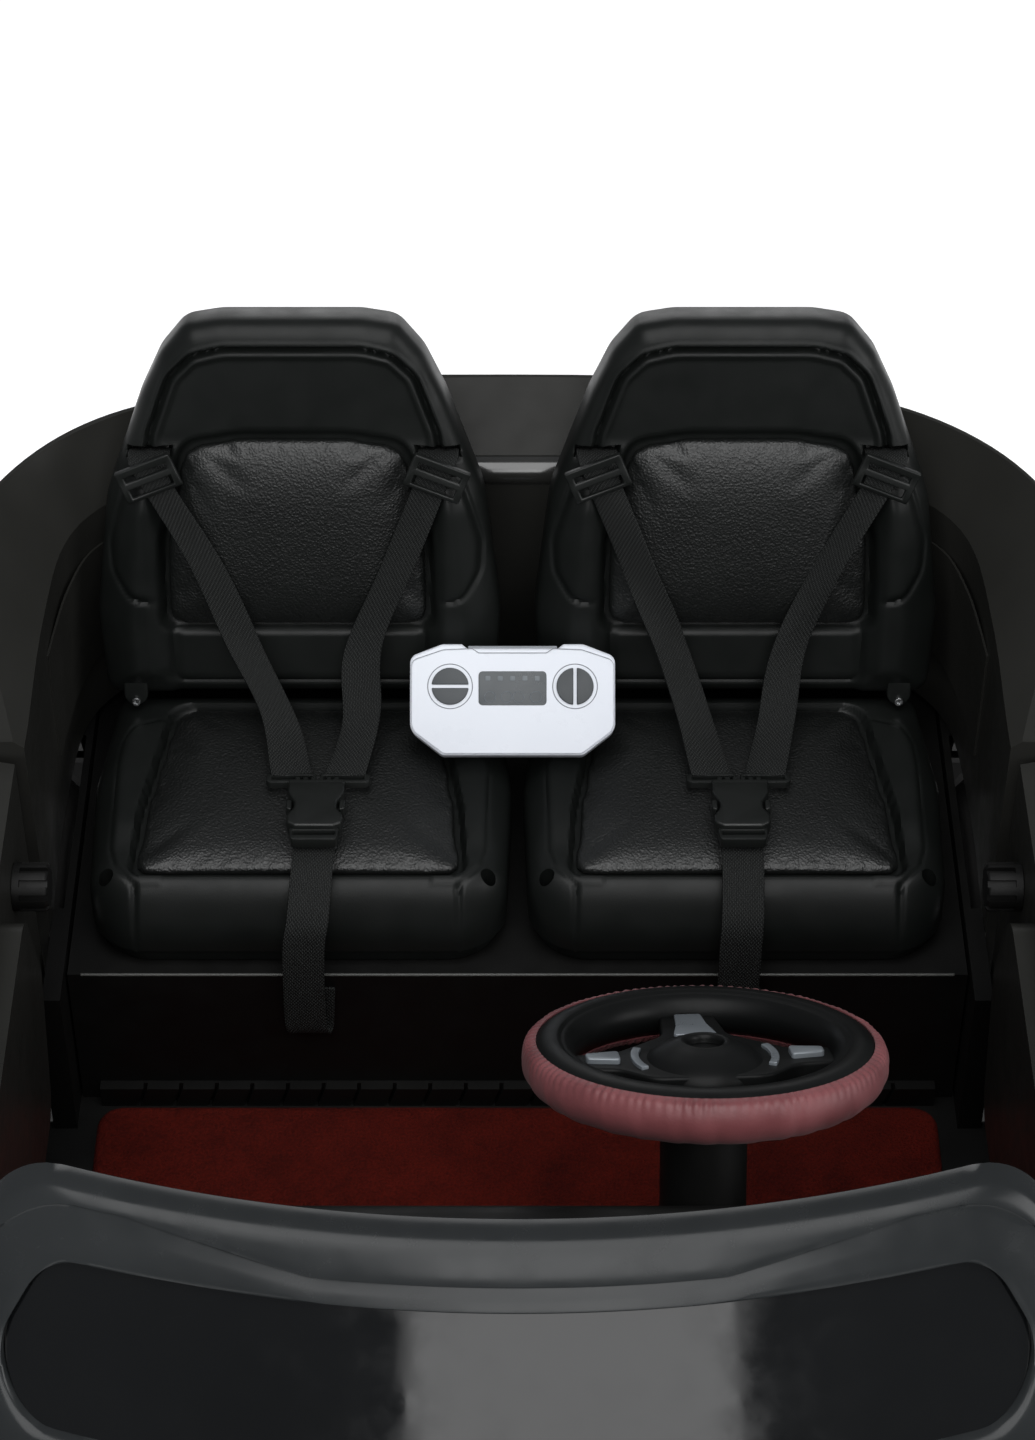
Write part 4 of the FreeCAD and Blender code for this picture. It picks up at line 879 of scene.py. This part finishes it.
def strap(name, stations):
    run = smoothRun([(*c, *a, *o) for c, a, o in stations], 900)
    reach = np.concatenate([[0], np.cumsum(np.linalg.norm(np.diff(run[:, :3], axis=0), axis=1))])
    piece = gridPiece(name, 8, tape["rows"])
    grid = points(piece)
    u, v = grid[:, 0], grid[:, 1] + 0.5
    at = np.stack([np.interp(v * reach[-1], reach, run[:, k]) for k in range(9)], axis=1)
    across, out = at[:, 3:6], at[:, 6:9]
    across /= np.linalg.norm(across, axis=1, keepdims=True)
    out -= across * (out * across).sum(axis=1, keepdims=True)
    out /= np.linalg.norm(out, axis=1, keepdims=True)
    sag = tape["sag"] * np.sin(v * reach[-1] * 0.07) * (1 - 4 * u ** 2)
    reshape(piece, (at[:, :3] + across * (u * tape["width"])[:, None] + out * sag[:, None]) * mm)
    for loop in piece.data.uv_layers.active.data:
        loop.uv = (loop.uv[0] * tape["width"] * mm, loop.uv[1] * reach[-1] * mm)
    modify(piece, "SOLIDIFY", thickness=tape["thick"] * mm, offset=1)
    return roundEdges(piece, tape["edge"]), reach[-1]


def shoulderStrap(name, centre, hub, side, roll, tuck):
    out = (0, -math.cos(backLean), math.sin(backLean))
    low = (0, -0.5, 0.87)
    skew = (1, 0.1 * side, 0.3 * side)
    return strap(name, [
        (backSpot(centre + side * 87, 169, 3), (1, 0, 0), (0, 0.31, 0.95)),
        (backSpot(centre + side * 87, 169.5, 14), (1, 0, 0.1 * side), (0, 0.31, 0.95)),
        (backSpot(centre + side * 86.5, 166, 22), (1, 0.05 * side, 0.25 * side), (0, -0.6, 0.8)),
        (backSpot(centre + side * 83.5, 156, 26), (1, 0.08 * side, 0.32 * side), out),
        (backSpot(centre + side * (62 - tuck), 100, 25), (1, -0.75 * roll, 0.3 * side + 0.5 * roll), out),
        (backSpot(centre + side * (40 - tuck), 46, 28), (1, 0.5 * roll, 0.3 * side - 0.2 * roll), out),
        ((hub + side * 25, 418, 311), skew, low),
        ((hub + side * 16, 376, 303), (1, 0, 0.05 * side), (0, -0.25, 0.97)),
    ])


def crotchStrap(name, hub, drop, lean):
    path = [
        (0, (324, 301), (-0.2, 1)), (-1, (300, 298.5), (-0.25, 0.97)), (-3, (276, 283), (-0.85, 0.5)),
        (-6, (268, 262), (-1, 0.15)), (-7, (264.5, drop + 14), (-1, 0)), (-5, (265.5, drop), (-0.9, -0.5)),
        (-4, (269, drop - 3), (0, -1)), (-3, (272.4, drop), (0.9, -0.5)), (-2, (273, drop + 16), (1, 0)),
        (-1, (273.4, 226), (1, 0)),
    ]
    return strap(name, [((hub + lean * x, y, z), (1, 0, 0), (0, ny, nz)) for x, (y, z), (ny, nz) in path])


# side, buckle place, lowest point of the crotch strap, its lean and the twist of the shoulder straps
harness = {"left": (1, 134, 205, 0.3, 0.55), "right": (-1, -121, 193, 1.0, 0.12)}
for word, (side, hub, drop, lean, roll) in harness.items():
    outer, outerRun = shoulderStrap("strap_outer", side * backMiddle, hub, side, roll, 8)
    inner, innerRun = shoulderStrap("strap_inner", side * backMiddle, hub, -side, roll, 0)
    crotch, crotchRun = crotchStrap("strap_crotch", hub, drop, lean)
    webbing = fuse(f"webbing_{word}", [outer, inner, crotch])
    mount(webbing, "chassis", strapWeave, "webbing", [f"harness_{word}"], 50)
    print("harness", word, [round(x) for x in (outerRun, innerRun, crotchRun)], "mm")


# harness hardware: ladder sliders and side-release buckles
slider = {"columns": [-18, -13.6, 13.6, 18], "rows": [-11, -8, -2.2, 2.2, 6.2, 11], "slots": (-5.1, 4.2),
          "thick": 4, "curl": (1.4, -1.2), "edge": 1.1}


def ladder(name):
    columns, rows = np.array(slider["columns"]), np.array(slider["rows"])
    piece = gridPiece(name, len(columns) - 1, len(rows) - 1)
    grid = points(piece)
    x, y = columns[gridStep(grid[:, 0], len(columns) - 1)], rows[gridStep(grid[:, 1], len(rows) - 1)]
    layOut(piece, x, y, 0 * x)
    pickFaces(piece, lambda face: abs(face.center.x) < 10 * mm
              and any(abs(face.center.y - level * mm) < 1 * mm for level in slider["slots"]))
    bpy.ops.mesh.delete(type="FACE")
    leave()
    modify(piece, "SOLIDIFY", thickness=slider["thick"] * mm, offset=1)
    for vertex in piece.data.vertices:
        if abs(vertex.co.y) > 9 * mm and vertex.co.z > 1 * mm:
            vertex.co.z += slider["curl"][0 if vertex.co.y > 0 else 1] * mm
    return roundEdges(piece, slider["edge"], 3, 0.6)


buckle = {
    "body": [(11.5, -25, 2.5), (16.5, -22, 3), (16.8, -15, 4), (13, -9, 5), (12.6, -3, 6), (17, 6, 5), (17, 15, 2)],
    "mouth": [(17, 14.5, 1.5), (17, 19, 1)], "teeth": (6, -13.2, 4.7), "tooth": (2.8, 18, 23, 0.6),
    "loop": [(1.2, 22.5, 1.5), (29, 22.5, 1.5), (31.5, 24.5, 1.5), (31.5, 30, 1.5), (28, 31.5, 1.5),
             (1.2, 31.5, 1.5)],
    "loopHole": [(3.2, 25.6, 0.8), (28, 25.6, 0.8), (28, 29, 0.8), (3.2, 29, 0.8)],
    "release": [(14.2, -8.5, 1), (17.6, -7, 1.4), (17.6, 1.5, 1.4), (14.2, 0.5, 1)],
    "foot": [(-13.5, -34, 2), (13.5, -34, 2), (15, -23, 2), (-15, -23, 2)], "footHole": (12.6, -29.5, -25.8, 0.8),
    "place": (347, 303), "tilt": -5,
}


def box(left, right, low, high, radius):
    return [(left, low, radius), (right, low, radius), (right, high, radius), (left, high, radius)]


def onHand(corners, side):
    return [(side * x, y, radius) for x, y, radius in corners][::side]


def pierced(name, loop, hole, low, high, reach):
    ring = plate(name, roundedLoop(loop, 1.0), low, high)
    drillOut(ring, plate("drill", roundedLoop(hole, 1.0), low - reach, high + reach))
    return roundEdges(ring, 0.8)


def makeBuckle(name):
    parts = [plate("clip_body", halfLoop(buckle["body"], 1.2), -0.5, 9.5, 1.6)]
    parts.append(plate("clip_mouth", halfLoop(buckle["mouth"], 1.2), -1.2, 8.2, 0.8))
    count, first, pitch = buckle["teeth"]
    wide, low, high, radius = buckle["tooth"]
    for left in (first + pitch * i for i in range(count)):
        tooth = roundedLoop(box(left, left + wide, low, high, radius), 0.8)
        parts.append(plate("clip_tooth", tooth, 0.5, 6.5, 0.4, 2))
    for side in (1, -1):
        loop, hole = onHand(buckle["loop"], side), onHand(buckle["loopHole"], side)
        parts.append(pierced("clip_loop", loop, hole, -2.5, 2.5, 3.5))
        notch = roundedLoop(onHand(buckle["release"], side), 0.8)
        parts.append(plate("clip_release", notch, 1.2, 7.4, 0.8))
    half, low, high, radius = buckle["footHole"]
    parts.append(pierced("clip_foot", buckle["foot"], box(-half, half, low, high, radius), -1, 6, 3.5))
    return fuse(name, parts)


hardware = []
for word, (side, hub, drop, lean, roll) in harness.items():
    clip = makeBuckle(f"buckle_{word}")
    clip.data.transform(shifted(hub, *buckle["place"]) @ turned(buckle["tilt"], "X"))
    hardware.append(clip)
    for hand in (1, -1):
        rungs = ladder("slider")
        seat = shifted(*backSpot(side * backMiddle + hand * 86.5, 158.5, 26))
        rungs.data.transform(seat @ backTilt @ turned(-22 * hand, "Z"))
        hardware.append(rungs)
mount(fuse("buckles_and_sliders", hardware), "chassis", hardwareBlack, "moulded_black", ["harness_hardware"], 40)
print("hardware fitted")


# floor mat: a flocked sheet with a rolled edge, lying on the footwell floor
mat = {"outline": [(259, -34, 10), (259, 265, 16)], "low": 121.2, "high": 124.6, "roll": (2.2, 1.6), "wave": 0.35,
       "corners": [(-257, -32), (257, -32), (256, 262), (-256, 262)]}


def makeMat():
    loop = halfLoop(mat["outline"])
    piece, spots = quilt("floor_mat", loop, mat["corners"], 130, 80, 0.2)
    reach, rise = mat["roll"]
    edge = np.clip(np.maximum(depthInside(spots, loop), 0) / reach, 0, 1)
    wave = mat["wave"] * np.sin(spots[:, 0] * 0.021) * np.sin(spots[:, 1] * 0.027 + 0.6)
    out = mat["high"] - rise + rise * np.sqrt(1 - (1 - edge) ** 2) + wave * ease(edge, 0, 1)
    layOut(piece, spots[:, 0], spots[:, 1], out)
    return shut(piece, [(mat["low"], 1.0)])


carpet = mount(makeMat(), "chassis", carpetRed, "carpet_red", ["carpet_mat"], 60)
print("mat laid")


# steering cover: a gathered sleeve over the outer half of the rim, pleated at both hems
column = {"eye": (98, 69, 400), "tilt": -30, "turn": 5.5, "grip": 80, "tube": 13}
columnFrame = shifted(*column["eye"]) @ turned(column["tilt"], "X")
cover = {"start": -118, "stop": 50, "plump": 15.6, "hem": 13.3, "pleats": 116, "fold": 1.0}


def makeCover():
    piece = gridPiece("steering_sleeve", 720, 30)
    grid = points(piece)
    turn, share = (grid[:, 0] + 0.5) * 2 * math.pi, grid[:, 1] + 0.5
    angle = np.radians(cover["start"] + (cover["stop"] - cover["start"]) * share)
    hem = np.minimum(share, 1 - share)
    pucker = np.exp(-(hem / 0.16) ** 2)
    drift = 0.9 * np.sin(turn * 7 + 0.4) + 0.7 * np.sin(turn * 13 + 2.1) + 0.5 * np.sin(turn * 29 + 0.9)
    depth = 0.65 + 0.35 * np.sin(turn * 17 + 1.7) * np.sin(turn * 5 + 0.3)
    fold = np.sin(turn * cover["pleats"] + drift) * depth
    swell = cover["hem"] + (cover["plump"] - cover["hem"]) * ease(hem, 0, 0.13)
    soft = 0.25 * np.sin(turn * 31 + 3 * share + drift) * np.sin(share * math.pi)
    radius = swell + cover["fold"] * 0.8 * pucker * (fold + 0.55) * ease(hem, 0.0, 0.05) + soft
    reach = column["grip"] + radius * np.cos(angle)
    layOut(piece, reach * np.cos(turn), reach * np.sin(turn), radius * np.sin(angle))
    tidyNormals(piece, 0.00003)
    return modify(piece, "SOLIDIFY", thickness=0.7 * mm, offset=0)


sleeve = mount(makeCover(), "steering", coverRed, "cover_red", ["steering_cover"], 60, columnFrame)
print("cover gathered")


# steering wheel: grooved rim, spokes, domed hub with a bare round recess, grey inlays and horn keys
wheelFrame = columnFrame @ turned(column["turn"], "Z")
wheel = {
    "hub": [(0, 5.4), (8.2, 5.4), (9.0, 5.8), (9.6, 8.4), (10.6, 9.8), (12.4, 10.3), (14.4, 9.6), (20, 7.2),
            (27, 3.4), (31.6, -1), (33.4, -7), (32, -15), (26, -23), (0, -24)],
    "spider": [(30, -29, 18), (47, -13, 16), (74, -11, 2), (74, 11, 2), (47, 12, 14), (32, 25, 10), (18, 37, 14),
               (14.5, 72, 2)],
    "inlay": [(11.8, 33.5, 1.5), (8.4, 50, 26), (7.2, 66, 1.5)],
    "key": [(45, -6.6, 2), (63, -4, 2.4), (63, 4, 2.4), (45, 6.6, 2)],
    "arc": (34.6, 39.0, -25, 23),
}


def lathe(name, profile, turns=144):
    profile = np.array(profile, float)
    piece = gridPiece(name, turns, len(profile) - 1)
    grid = points(piece)
    turn, row = (grid[:, 0] + 0.5) * 2 * math.pi, gridStep(grid[:, 1], len(profile) - 1)
    reach, rise = profile[row, 0], profile[row, 1]
    layOut(piece, reach * np.cos(turn), reach * np.sin(turn), rise)
    return tidyNormals(piece)


def arcLoop(inner, outer, start, stop, side):
    angles = np.radians(np.linspace(start, stop, 16))
    loop = [(outer * math.cos(a), outer * math.sin(a)) for a in angles]
    loop += [(inner * math.cos(a), inner * math.sin(a)) for a in angles[::-1]]
    return np.array([(side * x, y) for x, y in loop])[::side]


angles = np.linspace(-math.pi, math.pi, 73)
tube = column["tube"] - 0.25 - 0.8 * bump(np.abs(np.degrees(angles)), 112, 7)
rim = lathe("wheel_rim", np.stack([column["grip"] + tube * np.cos(angles), tube * np.sin(angles)], axis=1), 200)
dome = lathe("wheel_dome", smoothRun(wheel["hub"], 70))
spider = plate("wheel_spokes", halfLoop(wheel["spider"], 1.5), -11, 0.6, 2.4, 4)
moulding = fuse("wheel_moulding", [rim, dome, spider])
mount(moulding, "steering", wheelBlack, "moulded_black", ["steering_wheel"], 40, wheelFrame)
inlays = [plate("inlay_spoke", halfLoop(wheel["inlay"], 1.2), -1, 2.2, 0.6)]
inlays += [plate("inlay_arc", arcLoop(*wheel["arc"], side), -2, 2.4, 0.5) for side in (1, -1)]
mount(fuse("wheel_inlays", inlays), "steering", trimGrey, "trim_grey", ["spoke_trim"], 40, wheelFrame)
for side, word in hands:
    key = plate(f"horn_key_{word}", roundedLoop(onHand(wheel["key"], side), 0.8), -1, 3.8, 1.0)
    mount(key, f"horn_{word}", trimGrey, "trim_grey", [f"horn_button_{word}"], 40, wheelFrame)
print("steering wheel modelled")


# remote: two-part white case with raised shoulders, split round keys, a bare display
remote = {
    "rear": [(43, -34, 5), (62.5, -19, 10), (62.5, 26.5, 6), (43, 34, 9), (31, 34, 1.5), (27.6, 31.4, 1.5)],
    "front": [(42.2, -33, 5), (61.6, -18.4, 9.5), (61.6, 23.6, 5), (42, 30.2, 8), (24.5, 30.8, 1.5), (20.6, 28.2, 2)],
    "screen": [(20.7, -3.6, 2.6), (20.7, 17.2, 2.6)],
    "keys": {"drive": (-38, 8, True), "steer": (38, 8, False)}, "key": 11.3, "gap": 1.05, "ring": 13.6,
    "touches": (-13.8, -3.6, 3.6, 14.2), "lamps": (-15, -7.5, 0, 7.5, 15), "place": (-3, 411.4, 333), "tilt": 42,
}
remoteFrame = shifted(*remote["place"]) @ turned(remote["tilt"], "X")


def hoop(name, radius, wire, place):
    deselect()
    bpy.ops.mesh.primitive_torus_add(major_radius=radius * mm, minor_radius=wire * mm, major_segments=64,
                                     minor_segments=10)
    piece = newest(name)
    piece.data.transform(shifted(*place))
    return piece


def halfDisc(x, y, radius, gap, across, side):
    reach = math.asin(gap / radius)
    angles = np.linspace(reach, math.pi - reach, 40)
    spots = [(radius * math.cos(a), side * radius * math.sin(a)) for a in angles][::side]
    return np.array([(x + u, y + v) if across else (x + v, y - u) for u, v in spots])


frontLoop = halfLoop(remote["front"], 1.2)
shell = fuse("remote_shell", [
    plate("case_rear", halfLoop(remote["rear"], 1.2), -24, -0.9, 3.0, 4),
    plate("case_front", frontLoop, -6, 0, 0.7),
])
# the grey strip in the case seam and the grey hoops round the keys are painted shade lines; the grey bar in the top
# recess is the shell's own edge
shadeLinesAndBar = [plate("case_seam_shade_line", frontLoop + (0, 0.55), -4, -0.75),
         plate("case_bar", roundedLoop(box(-27.2, 27.2, 28, 33, 0.5), 1), -19, -2.6, 0.8)]
shadeLinesAndBar += [hoop("key_ring_shade_line", remote["ring"], 0.3, (x, y, 0)) for x, y, across in remote["keys"].values()]
display = plate("remote_display", halfLoop(remote["screen"], 0.8), -1, 0.4, 0.3)
marks = [hoop("touch_ring", 3.3, 0.22, (x, 1.5, 0.4)) for x in remote["touches"]]
marks += [plate("lamp_window", roundedLoop(box(x - 1.6, x + 1.6, 11.4, 14.4, 0.6), 0.6), 0, 0.5, 0.15)
          for x in remote["lamps"]]
for piece, skin, slot, stands in ((shell, shellWhite, "remote_white", ["remote_case"]),
                                  (fuse("remote_shade_lines_and_bar", shadeLinesAndBar), seamShadeAndBarGrey, "key_grey", ()),
                                  (display, displayGrey, "key_grey", ()),
                                  (fuse("remote_marks", marks), markGrey, "key_grey", ())):
    mount(piece, "remote", skin, slot, stands, 40, remoteFrame)
for word, (x, y, across) in remote["keys"].items():
    halves = [plate("key_half", halfDisc(x, y, remote["key"], remote["gap"], across, side), -3, 1.4, 0.6)
              for side in (1, -1)]
    key = fuse(f"{word}_key_pads", halves)
    mount(key, f"{word}_key", keyGrey, "key_grey", [f"remote_{word}_key"], 40, remoteFrame)
print("remote modelled")


# windscreen frame: a section swept round the opening; its crease runs from the corners down into the header
screen = {
    "outer": [(304, 412, 5), (300, 424, 10), (236, 521, 46)], "inner": [(262, 436, 24), (217, 497.5, 32)],
    "section": [(0.0, 15), (0.0, 4), (0.03, 1.6), (0.09, 0.4), (0.3, 0), (0.47, 0), (0.5, 0.4), (0.52, 1.3),
                (0.56, 1.2), (0.7, 0.0), (0.86, -0.9), (0.93, -0.7), (0.98, 0.4), (1.0, 2.2), (1.0, 11), (0.9, 15.5),
                (0.6, 17), (0.1, 17), (0.03, 16.5), (0.0, 15)],
    "crease": (188, 0.0066, 0.15, 0.62), "header": (440, 500), "foot": (-256, 400), "top": (-137, 530),
    "bend": (760, 727), "middle": 462, "turns": 300,
}


# the face leans back and its bend tightens from foot to top
def screenSpot(x, z, depth):
    (footY, footZ), (topY, topZ), (footBend, topBend) = screen["foot"], screen["top"], screen["bend"]
    share = (z - footZ) / (topZ - footZ)
    bend = footBend + (topBend - footBend) * share
    return footY + (topY - footY) * share + bend - np.sqrt((bend - depth) ** 2 - x ** 2)


def ringLoop(corners, count):
    loop = halfLoop(corners, 2)
    turn = np.arctan2(loop[:, 1] - screen["middle"], loop[:, 0] * 0.25)
    want = np.linspace(-math.pi, math.pi, count)
    return np.stack([np.interp(want, turn, loop[:, k], period=2 * math.pi) for k in (0, 1)], axis=1)


def makeScreen():
    section = np.array(screen["section"], float)
    outer, inner = (ringLoop(screen[edge], screen["turns"] + 1) for edge in ("outer", "inner"))
    piece = gridPiece("screen_surround", screen["turns"], len(section) - 1)
    grid = points(piece)
    turn, row = gridStep(grid[:, 0], screen["turns"]), gridStep(grid[:, 1], len(section) - 1)
    share, depth = section[row, 0], section[row, 1]
    edge, slope, least, most = screen["crease"]
    crease = np.clip(least + (edge - np.abs(outer[turn, 0])) * slope, least, most)
    crease = 0.5 + (crease - 0.5) * ease(outer[turn, 1], *screen["header"])
    above = 0.1 + (share - 0.1) * (crease - 0.1) / 0.4
    below = crease + (share - 0.5) * (1 - crease) / 0.5
    moved = np.where(share < 0.5, above, below)
    share = np.where((share < 0.1) | (depth > 10), share, moved)[:, None]
    x, z = ((1 - share) * outer[turn] + share * inner[turn]).T
    layOut(piece, x, screenSpot(x, z, depth), z)
    return tidyNormals(piece)


mount(makeScreen(), "chassis", screenGrey, "screen_smoke", ["windscreen_frame"], 40)
print("windscreen frame modelled")


# side mirrors: domed housings on short stalks, a silvered glass let into each
mirror = {"spot": (374, -126, 444), "half": (38, 34, 25), "foot": (324, -145, 404), "joint": (356, -140, 436),
          "stalk": 8, "glass": 0.84, "thick": 1.2, "proud": 2.2}
housings, panes = [], []
for side in (1, -1):
    deselect()
    bpy.ops.mesh.primitive_uv_sphere_add(segments=64, ring_count=48, radius=1)
    dome = newest("mirror_dome")
    spots = points(dome)
    spots[:, 1] = np.minimum(spots[:, 1], 0.04) * (1 - 0.12 * np.abs(spots[:, 0]) ** 3)
    reshape(dome, (spots * mirror["half"] + np.array(mirror["spot"]) * (side, 1, 1)) * mm)
    low, high = Vector(mirror["foot"]), Vector(mirror["joint"])
    low.x, high.x = low.x * side, high.x * side
    stalk = rod("mirror_stalk", 40, mirror["stalk"], (high - low).length)
    lean = (high - low).to_track_quat("Z", "Y").to_matrix().to_4x4()
    stalk.data.transform(shifted(*((high + low) / 2)) @ lean)
    housings += [tidyNormals(dome), stalk]
    glass = disc("mirror_glass", 72)
    half = Vector(mirror["half"]) * mirror["glass"] * mm
    x, y, z = mirror["spot"]
    glass.data.transform(shifted(x * side, y + mirror["proud"], z) @ Matrix.Diagonal((half.x, 1, half.z, 1))
                         @ turned(-90, "X"))
    panes.append(modify(glass, "SOLIDIFY", thickness=mirror["thick"] * mm, offset=0))
mount(fuse("mirror_housings", housings), "chassis", bodyBlack, "body_black", ["side_mirrors"], 50)
mount(fuse("mirror_panes", panes), "chassis", mirrorGlass, "steel", (), 40)
print("mirrors modelled")


# wall linings: plain panels on the cabin wall in front of the tail lamp wells
lining = {"run": [(281.8, 408), (279.6, 434), (275.5, 466), (266.4, 499), (251, 518), (231, 531), (200, 537)],
          "low": 288, "high": 372, "thick": 1.4, "columns": 60}
linings = []
for side in (1, -1):
    panel = gridPiece("wall_lining", lining["columns"], 1)
    grid = points(panel)
    at = smoothRun(lining["run"], lining["columns"] + 1)[gridStep(grid[:, 0], lining["columns"])]
    level = np.where(grid[:, 1] > 0, lining["high"], lining["low"])
    layOut(panel, side * at[:, 0], at[:, 1], level)
    linings.append(modify(panel, "SOLIDIFY", thickness=lining["thick"] * mm, offset=0))
mount(tidyNormals(fuse("wall_linings", linings)), "chassis", bodyBlack, "body_black")
print("wall linings fitted")


# deck lip and bench nosing: the polished roll between the seats, and a bead on the front edge of the bench whose
# light grey is a painted highlight
edgeRolls = {
    "bench_nosing_highlight": {"half": 262, "spot": (275.4, 234.6), "roll": 0.9, "sides": 16, "end": 0.4},
    "deck_lip": {"half": 30, "spot": (551.5, 397.8), "roll": 10, "sides": 96, "end": 3},
}
edgeSkins = {"bench_nosing_highlight": (benchHighlightGrey, "moulded_black"), "deck_lip": (lipGloss, "body_black")}
for name, roll in edgeRolls.items():
    edging = roundEdges(rod(name, roll["sides"], roll["roll"], 2 * roll["half"]), roll["end"], 4)
    mount(edging, "chassis", *edgeSkins[name], into=shifted(0, *roll["spot"]) @ turned(90, "Y"))
print("deck lip and bench nosing laid")

bpy.context.view_layer.update()
size = {"cad": [list(cadLow), list(cadHigh)], "visual": [list(corner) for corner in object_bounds()]}
print("size", size)
